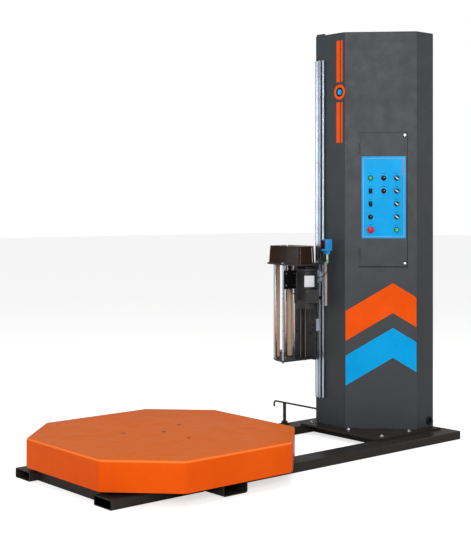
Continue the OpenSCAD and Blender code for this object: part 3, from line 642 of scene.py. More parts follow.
def on_face(name, mesh, finish, along, up, out=0.0, body="base", *replaced, turn=0.0):
    """Puts a mesh that was made flat in X and Y, with Z outward, on the slanted face."""
    spin = rotation(turn, "Z")
    mesh.transform(face_matrix(along, up, out) @ spin)
    return add_object(name, mesh, finish, body, *replaced)


def face_place(node):
    """Where a control sits on the slanted face: (along, up), from its CAD box."""
    low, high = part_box(node)
    middle = (low + high) / 2
    return (middle - face_start()).dot(FACE_ALONG), middle.z


# ---------------------------------------------------------------- screws, welds and other repeats
def hex_head(across, height, chamfer=0.12):
    """Hexagon head or nut, its top corners turned off."""
    r = across / math.sqrt(3)
    bm = bmesh.new()
    levels = [(r * 0.97, 0), (r, height * 0.06), (r, height * (1 - chamfer)), (r * 0.88, height)]
    skin_rings(bm, [ring_verts(bm, q, z, 6) for q, z in levels])
    return finished(bm, "hex", 0)


def bolt_with_washer(size, stand=0.0):
    """Hex bolt on a washer, with the thread's end and its chamfer showing above a nut when stand is set."""
    washer = turned("washer", [(size * 0.55, 0), (size * 1.25, 0), (size * 1.3, size * 0.06),
                               (size * 1.25, size * 0.2), (size * 0.55, size * 0.2)])
    parts = [(washer, Matrix()), (hex_head(size * 1.6, size * 0.7), shift(0, 0, size * 0.2))]
    if stand:
        top = size * 0.9
        threads = []
        for k in range(int(stand / (size * 0.15))):
            z = top + k * size * 0.15
            threads += [(size * 0.5, z), (size * 0.44, z + size * 0.075)]
        threads.append((size * 0.36, top + stand + size * 0.05))
        parts.append((turned("thread", threads, 20), Matrix()))
    return merged("bolt", parts)


def cap_screw(radius, height):
    """Round head with a hexagon socket."""
    head = turned("head", [(radius * 0.96, 0), (radius, height * 0.1), (radius, height * 0.85),
                           (radius * 0.92, height), (radius * 0.62, height), (radius * 0.55, height * 0.35),
                           (0, height * 0.32)], 24)
    return head


def pan_screw(radius, height, cross=True):
    """Domed head with a cross or a single slot sunk in it."""
    dome = [(radius, 0), (radius, height * 0.25), (radius * 0.86, height * 0.7), (radius * 0.55, height * 0.95),
            (radius * 0.30, height), (radius * 0.24, height * 0.55), (0, height * 0.45)]
    if not cross:
        dome = dome[:4] + [(0, height)]
    return turned("pan", dome, 24)


def weld_bead(name, start, end, radius, body, seed, finish="frame_paint"):
    """A rippled fillet weld along a straight joint."""
    rng = random.Random(seed)
    start, end = Vector(start), Vector(end)
    length = (end - start).length
    count = max(6, int(length / (radius * 0.9)))
    direction = (end - start).normalized()
    side = direction.cross(Vector((0.3, 0.2, 0.93))).normalized()
    up = direction.cross(side)
    bm = bmesh.new()
    rings = []
    for i in range(count + 1):
        r = radius * (0.82 + 0.18 * (i % 2) + rng.uniform(-0.06, 0.06))
        r *= 0.35 if i in (0, count) else 1
        at = start + direction * (length * i / count)
        rings.append([bm.verts.new(at + side * (r * math.cos(a)) + up * (r * math.sin(a)))
                      for a in (math.pi / 4 * k for k in range(8))])
    skin_rings(bm, rings)
    return add_object(name, finished(bm, name, 70), finish, body)


# ---------------------------------------------------------------- turntable and base
def deck():
    """Folded deck sheet with real bend radii, and the four screws of the hub."""
    cover = rounded_node("turntable_cover", 0.7, rings=True)
    fold_edges(cover, 14, 0.03, 5)
    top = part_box("turntable_cover")[1].z - 2 * MM
    places = [(0, 0, 11)] + [(205 * math.cos(a), 205 * math.sin(a), 9)
                             for a in (math.radians(d) for d in (30, 150, 270))]
    for i, (x, y, r) in enumerate(places):
        mesh = cap_screw(r * MM, 2.0 * MM)
        mesh.transform(shift(x * MM, y * MM, top))
        add_object(f"deck_screw_{i + 1}", mesh, "chain_steel", "turntable")


def base_frame():
    """Tubes and beams with rolled corners, and weld beads where they meet."""
    tubes = rounded_node("side_tubes", 0.6)
    fold_edges(tubes, 6, 0.02)
    beams = rounded_node("cross_beams", 1.0)
    fold_edges(beams, 5, 0.015)
    rounded_node("centre_cross_tube", 1.2)
    rounded_node("turntable_supports", 1.5)
    rounded_node("mast_foot_plate", 1.5)
    rounded_node("turntable_gearmotor", 2.5)
    far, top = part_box("side_tubes")[1].yz
    beams_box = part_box("cross_beams")
    inner = beams_box[1].y
    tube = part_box("centre_cross_tube")
    seams = []
    for side in (-1, 1):
        y = side * inner
        for x in (beams_box[0].x, beams_box[0].x + 50 * MM, beams_box[1].x - 70 * MM):
            seams.append(((x, y, 4 * MM), (x, y, top - 4 * MM), 4 * MM))
        for x, length in ((beams_box[0].x + 4 * MM, 42 * MM), (beams_box[1].x - 66 * MM, 62 * MM)):
            seams.append(((x, y, top - 1.5 * MM), (x + length, y, top - 1.5 * MM), 2 * MM))
        for x in (tube[0].x, tube[1].x):
            seams.append(((x, side * (inner + 8 * MM), top - 1 * MM),
                          (x, side * (far - 8 * MM), top - 1 * MM), 4.5 * MM))
            seams.append(((x, side * far, 8 * MM), (x, side * far, top - 3 * MM), 4 * MM))
    mast_low, mast_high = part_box("mast_column")
    z = mast_low.z + 0.5 * MM
    corner = [(mast_low.x, mast_high.y), (mast_low.x, mast_low.y + CUT), (mast_low.x + CUT, mast_low.y),
              (mast_high.x, mast_low.y)]
    for a, b in zip(corner, corner[1:]):
        for t in (0.06, 0.44, 0.82):
            p, q = Vector((*a, z)), Vector((*b, z))
            seams.append((p.lerp(q, t), p.lerp(q, t + 0.12), 3.2 * MM))
    for i, (a, b, r) in enumerate(seams):
        weld_bead(f"base_weld_{i + 1}", a, b, r, "base", 40 + i)


def foot_bolts():
    """Plated hex bolts on washers, where the CAD has its five bolts."""
    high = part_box("foot_bolts")[1]
    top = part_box("mast_foot_plate")[1].z
    centres = sorted({(round(v.co.x, 3), round(v.co.y, 3)) for v in frame["nodes"]["foot_bolts"].data.vertices
                      if v.co.z > high.z - 1e-4})
    groups = []
    for p in centres:
        near = next((g for g in groups if math.dist(g[0], p) < 0.05), None)
        groups.append([p]) if near is None else near.append(p)
    parts = []
    for k, g in enumerate(groups):
        x, y = (sum(p[i] for p in g) / len(g) for i in (0, 1))
        turn = rotation(0.4 + 0.9 * k, "Z")
        parts.append((bolt_with_washer(10 * MM), shift(x, y, top) @ turn))
    add_parts("foot_bolt_heads", parts, "zinc", "base", "foot_bolts")


# ---------------------------------------------------------------- mast
def mast():
    """Folded column with its bends, and the back cover with its screws."""
    column = rounded_node("mast_column", 0.5)
    fold_edges(column, 6, 0.06, 4)
    rounded_node("mast_back_cover", 0.5)
    low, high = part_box("mast_back_cover")
    k = 0
    for y in (low.y + 14 * MM, high.y - 14 * MM):
        for i in range(7):
            z = low.z + 30 * MM + i * (high.z - low.z - 60 * MM) / 6
            mesh = pan_screw(6 * MM, 2.4 * MM)
            mesh.transform(shift(high.x, y, z) @ TO_RIGHT)
            k += 1
            add_object(f"back_screw_{k}", mesh, "zinc", "base")


def rail():
    """Drawn alloy rail, with screws sunk almost flush in its face so that the shoes pass over them."""
    rounded_node("guide_rail", 0.8)
    low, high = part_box("guide_rail")
    for i in range(11):
        z = low.z + 25 * MM + i * (high.z - low.z - 50 * MM) / 10
        mesh = cap_screw(4.5 * MM, 2.2 * MM)
        mesh.transform(shift(low.x + 2.05 * MM, high.y - 20 * MM, z)
                       @ TO_LEFT)
        add_object(f"rail_screw_{i + 1}", mesh, "chain_steel", "base")
    # Brighter strips where the shoes run are polish and partly a painted highlight; dark strips over the grooves are
    # painted shade.
    tracks = [(high.y - 22 * MM, high.y - 7 * MM), (low.y + 1.5 * MM, low.y + 9 * MM)]
    grooves = [(high.y - 4.5 * MM, high.y - 2.5 * MM), (high.y - 30 * MM, high.y - 27 * MM)]
    for name, lines, finish in (("rail_track_polish_and_highlight", tracks, "rail_polish"), ("rail_groove_shadow", grooves, "chain_steel")):
        parts = [(cuboid((low.x - 0.15 * MM, a, low.z + 8 * MM), (low.x + 0.5 * MM, b, high.z - 8 * MM)), Matrix())
                 for a, b in lines]
        add_object(name, merged(name, parts), finish, "base", slot="rail_alloy")


def chevron(name, finish, low_left, rise, band, apex):
    """A band across the slanted face with one corner point. Heights are of its lower edge at the left."""
    x0, x1, xm = 4 * MM, FACE_W - 4 * MM, FACE_W * apex
    slope = rise / (xm - x0)
    left, peak, right = low_left, low_left + rise, low_left + rise - slope * (x1 - xm)
    outline = [(x0, left), (xm, peak), (x1, right), (x1, right + band), (xm, peak + band), (x0, left + band)]
    mesh = extrude_outline(name, outline, 0.0, FILM)
    made = on_face(name, mesh, finish, 0, 0, 0.0)
    return made


def mast_graphics():
    """Two plain chevrons below the door, and an unlettered stripe with a ring high on the left face."""
    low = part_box("mast_column")[0]
    chevron("chevron_orange", "label_orange", 572 * MM, 166 * MM, 175 * MM, 0.665)
    chevron("chevron_blue", "label_blue", 309 * MM, 166 * MM, 175 * MM, 0.665)
    y_mid, half = low.y + CUT + 44 * MM, 26 * MM
    z0, z1, zc, r = 1740 * MM, 2345 * MM, 2040 * MM, 44 * MM
    plane = shift(low.x, y_mid, 0) @ LEFT_FACE
    segments = [(z0, zc - 1.35 * r), (zc + 1.35 * r, z1)]
    bars = []
    for a, b in segments:
        for k, width in ((-1, 0.55), (1, 0.22)):
            centre = k * half * (0.40 if k < 0 else 0.72)
            w = half * width
            bars.append((extrude_outline("bar", [(centre - w, a), (centre + w, a), (centre + w, b), (centre - w, b)],
                                         0, FILM), plane))
    add_parts("side_stripe", bars, "label_orange", "base")
    ring = turned("ring", [(r * 0.62, 0), (r, 0), (r, FILM), (r * 0.62, FILM), (r * 0.62, 0)], 48)
    ring.transform(plane @ shift(0, zc, 0))
    add_object("side_ring", ring, "label_orange", "base")
    dot = turned("dot", [(r * 0.40, 0), (r * 0.40, FILM), (0, FILM)], 40)
    dot.transform(plane @ shift(0, zc, 0))
    add_object("side_dot", dot, "label_blue", "base")


# ---------------------------------------------------------------- control door
DOOR_OUT = 3 * MM
KNOB_REST = math.radians(-40)
SELECTOR_REST = math.radians(50)


def bar_mesh(width, height, depth=0.25 * MM):
    return extrude_outline("bar", [(-width / 2, -height / 2), (width / 2, -height / 2),
                                   (width / 2, height / 2), (-width / 2, height / 2)], 0, depth)


def round_outline(width, height, radius, steps=6):
    """Rectangle with round corners, centred on the origin."""
    outline = []
    for cx, cy, start in ((1, 1, 0), (-1, 1, 90), (-1, -1, 180), (1, -1, 270)):
        for k in range(steps + 1):
            a = math.radians(start + 90 * k / steps)
            outline.append((cx * (width / 2 - radius) + radius * math.cos(a),
                            cy * (height / 2 - radius) + radius * math.sin(a)))
    return outline


def rounded_plate(width, height, radius, low, high, steps=6):
    return extrude_outline("plate", round_outline(width, height, radius, steps), low, high)


def windowed_sheet(width, height, radius, depth, windows):
    """Thin sheet with round corners and rectangular windows, each given by its centre and its size."""
    loops = [round_outline(width, height, radius)]
    for x, y, w, h in windows:
        loops.append([(x - w / 2, y - h / 2), (x - w / 2, y + h / 2), (x + w / 2, y + h / 2), (x + w / 2, y - h / 2)])
    flat = [point for loop in loops for point in loop]
    count = len(flat)
    faces = []
    for a, b, c in tessellate_polygon([[Vector((x, y, 0)) for x, y in loop] for loop in loops]):
        ab, ac = Vector(flat[b]) - Vector(flat[a]), Vector(flat[c]) - Vector(flat[a])
        if ab.cross(ac) < 0:
            a, c = c, a
        faces += [(a + count, b + count, c + count), (c, b, a)]
    start = 0
    for loop in loops:
        for k in range(len(loop)):
            a, b = start + k, start + (k + 1) % len(loop)
            faces.append((a, b, b + count, a + count))
        start += len(loop)
    mesh = bpy.data.meshes.new("sheet")
    mesh.from_pydata([(x, y, z) for z in (0, depth) for x, y in flat], [], faces)
    return mesh


def frame_line(width, height, line, depth):
    """Thin printed rectangle, only its outline."""
    parts = []
    for s in (-1, 1):
        parts.append((bar_mesh(width, line, depth), shift(0, s * (height - line) / 2, 0)))
        parts.append((bar_mesh(line, height - 2 * line, depth), shift(s * (width - line) / 2, 0, 0)))
    return merged("frame", parts)


def control_places():
    """Along and up of every control, from the CAD: three columns and five rows."""
    left, lowest = face_place("e_stop_button")
    right = face_place("start_button")[0]
    middle = (left + right) / 2
    rows = [face_place(f"selector_{i}")[1] for i in (1, 2, 3, 4)] + [lowest]
    return {"pilot": (left, rows[0]), "speed_knob_1": (middle, rows[0]), "selector_1": (right, rows[0]),
            "rocker_1": (left, rows[1]), "speed_knob_2": (middle, rows[1]), "selector_2": (right, rows[1]),
            "rocker_2": (left, rows[2]), "selector_3": (right, rows[2]),
            "speed_knob_3": (left, rows[3]), "selector_4": (right, rows[3]),
            "e_stop_button": (left, rows[4]), "start_button": (right, rows[4])}


PLACES = control_places()


def on_control(node, part, mesh, finish, *replaced, turn=0.0):
    """Puts a mesh on a control of the door, with Z = 0 on the door's back."""
    return on_face(f"{node}_{part}", mesh, finish, *PLACES[node], 0, BODY_OF[node], *replaced, turn=turn)


def overlay():
    """Blue printed film over the lower part of the door, with a thin border and plain dashes for captions."""
    left, right, low, high = 98.3 * MM, 355.5 * MM, 1176.5 * MM, 1657 * MM
    middle = ((left + right) / 2, (low + high) / 2)
    windows = [(x - middle[0], y - middle[1], 18 * MM, 27 * MM) for x, y in (PLACES["rocker_1"], PLACES["rocker_2"])]
    film = windowed_sheet(right - left, high - low, 4 * MM, 0.4 * MM, windows)
    on_face("overlay_film", film, "label_blue", *middle, DOOR_OUT, "door")
    border = frame_line(right - left - 20 * MM, high - low - 20 * MM, 1.9 * MM, INK)
    on_face("overlay_border", border, "label_grey", *middle, DOOR_OUT + 0.4 * MM, "door")
    rng = random.Random(5)
    dashes, ticks = [], []
    for name, (along, up) in PLACES.items():
        x, y = along - middle[0], up - middle[1]
        top = 27 * MM if name != "e_stop_button" else 30 * MM
        words = [rng.uniform(7, 11) * MM, rng.uniform(5, 9) * MM]
        total = sum(words) + 2 * MM
        at = x - total / 2
        for w in words:
            dashes.append((bar_mesh(w, 2.3 * MM, INK), shift(at + w / 2, y + top, 0)))
            at += w + 2 * MM
        if name.startswith("speed_knob"):
            for k in range(11):
                a = math.radians(-45 + 27 * k)
                turn = rotation(a, "Z")
                ticks.append((bar_mesh(3.2 * MM, (1.3 if k % 5 == 0 else 0.7) * MM, INK),
                              shift(x, y, 0) @ turn @ shift(18.5 * MM, 0, 0)))
        if name.startswith("selector"):
            for s in (-1, 1):
                dashes.append((bar_mesh(4.5 * MM, 1.6 * MM, INK),
                               shift(x + s * 19.5 * MM, y + 12 * MM, 0)))
    on_face("overlay_captions", merged("captions", dashes), "label_black", *middle, DOOR_OUT + 0.4 * MM, "door")
    on_face("overlay_ticks", merged("ticks", ticks), "label_white", *middle, DOOR_OUT + 0.4 * MM, "door")
    side = [(bar_mesh(5.5 * MM, 6.5 * MM, INK),
             shift((right - left) / 2 - 17 * MM, (high - low) / 2 - (18 + 10.5 * k) * MM, 0))
            for k in range(9)]
    on_face("overlay_marks", merged("marks", side), "label_red", *middle, DOOR_OUT + 0.4 * MM, "door")


def bezels():
    """Black collars round the push buttons and knobs, and the pilot lamp's lens."""
    collar = [(14.9, 2.2), (15.4, 2.4), (15.6, 3.2), (15.2, 5.6), (14.4, 6.15), (12.6, 6.25), (12.0, 5.4),
              (8.2, 5.2), (8.2, 2.2), (14.9, 2.2)]
    for name, (along, up) in PLACES.items():
        if name.startswith("rocker"):
            continue
        mesh = turned("collar", [(r * MM, (z - 3 + 0.45) * MM) for r, z in collar], 40)
        on_face(name + "_collar", mesh, "black_plastic", along, up, DOOR_OUT, "door")
    along, up = PLACES["pilot"]
    lens = turned_mm("lens", [(11.05, 6.3), (11.15, 9.6), (10.3, 11.6), (8.0, 13.0), (4.2, 13.8), (0, 14.0)], 36)
    on_face("pilot_lens", lens, "green_plastic", along, up, 0, "door")


def knob_mesh():
    """Skirted control knob with a fluted grip."""
    skirt = turned("skirt", [(13.4, 6.45), (13.5, 7.2), (13.2, 8.6), (12.2, 9.2), (9.6, 9.4), (0, 9.4)], 40)
    bm = bmesh.new()
    levels = ((9.2, 0.25), (10.2, 0), (20.6, -0.15), (21.7, -0.9), (22.0, -2.2))
    skin_rings(bm, [ring_verts(bm, 10 + grow, z, 72, lambda a, deep=0.42 if z < 21 else 0.15: deep * math.cos(18 * a))
                    for z, grow in levels])
    grip = finished(bm, "grip", 0)
    return merged("knob", [(skirt, Matrix()), (grip, Matrix())])


def knobs():
    for i in (1, 2, 3):
        node = f"speed_knob_{i}"
        mesh = knob_mesh()
        mesh.transform(Matrix.Scale(MM, 4))
        on_control(node, "grip", mesh, "black_plastic", node)
        line = bar_mesh(1.2 * MM, 8.4 * MM, 0.15 * MM)
        line.transform(shift(0, 4.2 * MM, 22.0 * MM))
        on_control(node, "line", line, "label_white", turn=KNOB_REST)
        stem = turned("stem", [(6.9 * MM, -7.8 * MM), (6.9 * MM, 9 * MM)], 24)
        on_control(node, "stem", stem, "machine_steel")


def selectors():
    for i in (1, 2, 3, 4):
        node = f"selector_{i}"
        cap = turned("cap", [(12.9, 6.45), (13.0, 7.0), (13.0, 10.2), (12.5, 11.0), (6, 11.05), (0, 11.05)], 40)
        stem = turned("stem", [(6.9, -7.8), (6.9, 9)], 24)
        body = merged("cap", [(cap, Matrix()), (stem, Matrix())])
        body.transform(Matrix.Scale(MM, 4))
        on_control(node, "cap", body, "black_plastic", node)
        lever = rounded_plate(7.0 * MM, 24 * MM, 3.4 * MM, 10.9 * MM, 22 * MM, 8)
        smooth_by_angle(lever)
        made = on_control(node, "lever", lever, "white_plastic", turn=SELECTOR_REST)
        soften(made, 0.9, 3)
        mark = bar_mesh(1.1 * MM, 7 * MM, INK)
        mark.transform(shift(0, 7.4 * MM, 22 * MM))
        on_control(node, "mark", mark, "label_black", turn=SELECTOR_REST)


def push_buttons():
    mushroom = [(6.9, -7.8), (6.9, 12.0), (12.8, 12.2), (13, 16.2), (18.6, 16.0), (19.8, 17.0), (20, 19.5),
                (19.9, 25.6), (19.0, 28.4), (16.6, 30.2), (11.0, 30.9), (5, 31.0), (0, 31.0)]
    mesh = turned_mm("mushroom", mushroom, 48)
    on_face("e_stop_mushroom", mesh, "red_plastic", *PLACES["e_stop_button"], 0, "e_stop", "e_stop_button")
    cap = [(6.9, -7.8), (6.9, 11.4), (11.2, 11.6), (11.9, 12.2), (12, 15.8), (11.3, 16.8), (9.4, 17.0), (8.6, 16.5),
           (0, 16.4)]
    mesh = turned_mm("cap", cap, 40)
    on_face("start_cap", mesh, "green_plastic", *PLACES["start_button"], 0, "start", "start_button")


def rockers():
    profile = [(-9, 4.2), (-8.6, 8.0), (-3, 6.6), (0, 5.7), (3, 6.6), (8.6, 8.0), (9, 4.2)]
    for i in (1, 2):
        node = f"rocker_{i}"
        turn = rotation(math.pi / 2, "Z") @ TO_NEAR
        paddle = extrude_outline("paddle", [(y * MM, z * MM) for y, z in profile], -6.9 * MM, 6.9 * MM)
        paddle.transform(turn)
        smooth_by_angle(paddle, 40)
        made = on_control(node, "paddle", paddle, "black_plastic", node)
        soften(made, 0.5, 2)
        mark = bar_mesh(1.0 * MM, 4 * MM, 0.15 * MM)
        tilt = math.atan2(8.0 - 6.6, 5.6)
        mark.transform(shift(0, 5.6 * MM, 7.26 * MM) @ rotation(tilt, "X"))
        on_control(node, "mark", mark, "label_white")
        lip = []
        for s in (-1, 1):
            lip.append((rounded_plate(2.8 * MM, 31 * MM, 1.2 * MM, 0.4 * MM, 3.5 * MM),
                        shift(s * 9.5 * MM, 0, 0)))
            lip.append((rounded_plate(21.6 * MM, 5.4 * MM, 1.6 * MM, 0.4 * MM, 3.5 * MM),
                        shift(0, s * 12.8 * MM, 0)))
        made = on_face(node + "_frame", merged("lip", lip), "black_plastic", *PLACES[node], DOOR_OUT, "door")
        soften(made, 0.7, 2)


def door():
    """The door's own sheet with its edges rounded, hinge pins, latches, and black strips below, above and right of it
    as painted shadow in the door's gap.
    """
    rounded_node("control_door", 0.6)
    rounded_node("hinge_leaves", 0.5)
    for node in ("door_latch_upper", "door_latch_lower"):
        rounded_node(node, 0.6)
        along = face_place(node)[0]
        cup = turned_mm("cup", [(6.4, 3.0), (8.6, 3.0), (8.8, 3.4), (8.2, 4.1), (6.5, 4.2), (6.4, 3.0)], 36)
        on_face(node + "_cup", cup, "black_plastic", along, latch_height(node), 0, "door")
    low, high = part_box("control_door")
    along = [(Vector((x, y, 0)) - face_start()).dot(FACE_ALONG) for x, y in ((low.x, high.y), (high.x, low.y))]
    left, right = min(along) + 4 * MM, max(along)
    # Black strips behind the door's edges, widest below: painted shadow in the gap round the door.
    strips = [((left + right) / 2, low.z - 3.2 * MM, right - left + 6 * MM, 5.6 * MM),
              ((left + right) / 2, high.z + 1.6 * MM, right - left + 6 * MM, 2.2 * MM),
              (right + 2.2 * MM, (low.z + high.z) / 2, 3.2 * MM, high.z - low.z + 6 * MM)]
    gap_shadow_strips = [(bar_mesh(w, h, 1.5 * MM), shift(x, z, 0)) for x, z, w, h in strips]
    on_face("door_gap_shadow", merged("door_gap_shadow", gap_shadow_strips), "black_plastic", 0, 0, 0)
    overlay()
    bezels()
    knobs()
    selectors()
    push_buttons()
    rockers()


def latch_height(node):
    """Height of the latch's shaft: its cam hangs to one side, so its own box is not centred on it."""
    low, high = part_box(node)
    return low.z + 6 * MM if node.endswith("lower") else high.z - 6 * MM


# ---------------------------------------------------------------- film carriage
MOTOR_AXIS = (1.218, 0.215)
SENSOR_AXIS = (1.298, 0.124)


def centre_of(node):
    low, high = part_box(node)
    return (low + high) / 2


def round_corners(outline, radius, steps=6):
    """Plan outline with every corner turned into an arc."""
    points = [Vector(p) for p in outline]
    rounded = []
    for before, at, after in zip(points[-1:] + points[:-1], points, points[1:] + points[:1]):
        a, b = (before - at).normalized(), (after - at).normalized()
        half = a.angle(b) / 2
        reach = radius / math.tan(half)
        start, end = at + a * reach, at + b * reach
        centre = at + (a + b).normalized() * (radius / math.sin(half))
        for k in range(steps + 1):
            spoke = (start - centre).lerp(end - centre, k / steps)
            rounded.append(centre + spoke.normalized() * radius)
    return rounded


def lofted(name, levels):
    """Open-ended skin through outlines of equal length, each (points, height), closed over the last one."""
    bm = bmesh.new()
    skin_rings(bm, [[bm.verts.new((p.x, p.y, z)) for p in points] for points, z in levels], foot=False)
    return finished(bm, name, 40)


def gear_cover():
    """Pressed cover with large bend radii, a pale strip on its front fold as a painted highlight, and its two bolts.
    """
    base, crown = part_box("carriage_top_plate")[1].z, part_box("gear_cover")[1].z - 8 * MM
    foot = [(1.106, 0.156), (1.210, 0.156), (1.316, 0.250), (1.316, 0.470), (1.140, 0.470), (1.127, 0.412)]
    head = [(1.114, 0.162), (1.208, 0.162), (1.312, 0.252), (1.312, 0.466), (1.146, 0.466), (1.137, 0.410)]
    foot, head = round_corners(foot, 16 * MM), round_corners(head, 14 * MM)
    middle = sum(head, Vector((0, 0))) / len(head)
    bend, sheet = 7 * MM, 2 * MM
    outer = [(foot, base), ([a.lerp(b, 0.5) for a, b in zip(foot, head)], (base + crown) / 2)]
    for k in range(6):
        a = math.pi / 2 * k / 5
        draw = bend * (1 - math.cos(a))
        ring = [p + (middle - p).normalized() * draw for p in head]
        outer.append((ring, crown - bend + bend * math.sin(a)))
    inner = [([p + (middle - p).normalized() * sheet for p in points], z - (0 if z == base else sheet))
             for points, z in outer]
    skin = lofted("skin", outer)
    lining = lofted("lining", inner)
    lining.flip_normals()
    bm = bmesh.new()
    near, far = ([bm.verts.new((p.x, p.y, base)) for p in ring[0][0]] for ring in (outer, inner))
    for k in range(len(near)):
        n = (k + 1) % len(near)
        bm.faces.new((near[k], near[n], far[n], far[k]))
    for part in (skin, lining):
        bm.from_mesh(part)
    bmesh.ops.remove_doubles(bm, verts=bm.verts, dist=1e-6)
    add_object("gear_cover_pressed", finished(bm, "cover", 40), "black_gloss", "carriage", "gear_cover")
    # A pale strip along the cover's front fold: a painted highlight where the bend would catch the light.
    rows = []
    for k in (8, 9, 10, 11, 12):
        out = (foot[k] - middle).normalized()
        low_at, high_at = foot[k].lerp(head[k], 0.06), foot[k].lerp(head[k], 0.9)
        rows.append([(p + out * d * MM).to_3d() + Vector((0, 0, z)) for p, z, d in
                     ((low_at, base + 6 * MM, 0.15), (high_at, crown - 9 * MM, 0.15),
                      (high_at, crown - 9 * MM, -0.6), (low_at, base + 6 * MM, -0.6))])
    bm = bmesh.new()
    skin_rings(bm, [[bm.verts.new(p) for p in row] for row in rows])
    add_object("gear_cover_fold_highlight", finished(bm, "fold", 0), "white_plastic", "carriage", slot="black_gloss")
    for i, (x, y) in enumerate(((1.148, 0.365), (1.140, 0.300))):
        mesh = merged("bolt", [(turned("washer", [(5.2 * MM, 0), (9.0 * MM, 0), (9.0 * MM, 1.4 * MM),
                                                 (5.2 * MM, 1.4 * MM)]), Matrix()),
                               (hex_head(13 * MM, 6.2 * MM), shift(0, 0, 1.4 * MM) @ rotation(0.5 + i, "Z"))])
        mesh.transform(shift(x, y, crown))
        add_object(f"cover_bolt_{i + 1}", mesh, "zinc", "carriage")


def motor():
    """Ribbed motor: end bells, cooling ribs, fan cover with a grille, terminal box and name plate."""
    node = "carriage_motor"
    x, y = MOTOR_AXIS
    low = 758 * MM
    parts = []
    bell = [(30, 0), (58, 0), (61, 1.5), (62, 5), (62, 36), (60.5, 38), (60.5, 44), (58.5, 46), (58.5, 222),
            (61, 224), (63.5, 226), (63.5, 236), (57, 241), (52, 250), (45, 254), (45, 257)]
    parts.append((turned_mm("bell", bell, 64), shift(x, y, low)))
    rib = extrude_outline("rib", [(57.5 * MM, -1.5 * MM), (63.8 * MM, -0.8 * MM), (63.8 * MM, 0.8 * MM),
                                  (57.5 * MM, 1.5 * MM)], 52 * MM, 218 * MM)
    parts += [(rib, shift(x, y, low) @ turn) for turn in around(40)]
    for k in range(4):
        a = math.radians(45 + 90 * k)
        at = shift(x + 50 * MM * math.cos(a), y + 50 * MM * math.sin(a), low + 240 * MM)
        parts.append((turned("boss", [(7 * MM, 0), (7 * MM, 14 * MM), (5 * MM, 17 * MM)], 20), at))
    made = add_parts("motor_body", parts, "black_motor", "carriage", node)
    soften(made, 0.4, 1)
    grille = []
    for r in range(8, 30, 5):
        grille.append((turned("ring", [(r * MM, -1.5 * MM), ((r + 1.6) * MM, -1.5 * MM), ((r + 1.6) * MM, 1 * MM),
                                       (r * MM, 1 * MM), (r * MM, -1.5 * MM)], 40), shift(x, y, low)))
    bar = cuboid((-31 * MM, -1 * MM, -1.2 * MM), (31 * MM, 1 * MM, 0.8 * MM))
    grille += [(bar, shift(x, y, low) @ turn) for turn in around(6, whole=math.pi)]
    add_parts("motor_grille", grille, "machine_steel", "carriage")
    terminal_box(x, y)
    motor_plate(x, y)


def terminal_box(x, y):
    """Box with its lid, four screws and a gland."""
    place = shift(x, y, 798 * MM) @ rotation(math.radians(-25), "Z")
    body = rounded_plate(80 * MM, 77 * MM, 5 * MM, 58 * MM, 98.5 * MM)
    lid = rounded_plate(82 * MM, 79 * MM, 6 * MM, 98.5 * MM, 105 * MM)
    front = shift(0, 0, 38.5 * MM) @ TO_NEAR
    for name, mesh in (("terminal_body", body), ("terminal_lid", lid)):
        smooth_by_angle(mesh)
        mesh.transform(place @ front)
        soften(add_object(name, mesh, "black_motor", "carriage"), 2 if name == "terminal_lid" else 1, 3)
    screws = []
    for sx in (-1, 1):
        for sz in (-1, 1):
            at = shift(sx * 33 * MM, sz * 31 * MM, 104.6 * MM)
            screws.append((pan_screw(4.2 * MM, 2.4 * MM), front @ at))
    mesh = merged("terminal_screws", screws)
    mesh.transform(place)
    add_object("terminal_screws", mesh, "chain_steel", "carriage")
    gland = [(9, 0), (9.4, 0.6), (9.4, 7), (8.4, 8), (8.4, 9), (10.4, 9.4), (10.4, 16), (9.2, 20), (6.2, 22), (0, 22)]
    mesh = turned_mm("gland", gland, 32)
    mesh.transform(place @ shift(40 * MM, -82 * MM, 30 * MM) @ TO_RIGHT)
    add_object("terminal_gland", mesh, "black_plastic", "carriage")


def motor_plate(x, y):
    """Curved name plate on the motor, without lettering."""
    turn = shift(x, y, 0) @ rotation(math.radians(-118), "Z")
    bm = bmesh.new()
    rows = []
    for z in (890 * MM, 956 * MM):
        rows.append([[bm.verts.new((r * MM * math.cos(a), r * MM * math.sin(a), z))
                      for a in (math.radians(d) for d in range(-29, 30, 4))] for r in (63.6, 64.6)])
    n = len(rows[0][0])
    for k in range(n - 1):
        bm.faces.new((rows[0][1][k], rows[0][1][k + 1], rows[1][1][k + 1], rows[1][1][k]))
        bm.faces.new((rows[0][0][k], rows[1][0][k], rows[1][0][k + 1], rows[0][0][k + 1]))
        for row in rows:
            bm.faces.new((row[0][k], row[0][k + 1], row[1][k + 1], row[1][k]))
    for k in (0, n - 1):
        bm.faces.new((rows[0][0][k], rows[0][1][k], rows[1][1][k], rows[1][0][k]))
    plate = finished(bm, "plate")
    plate.transform(turn)
    add_object("motor_name_plate", plate, "label_white", "carriage")


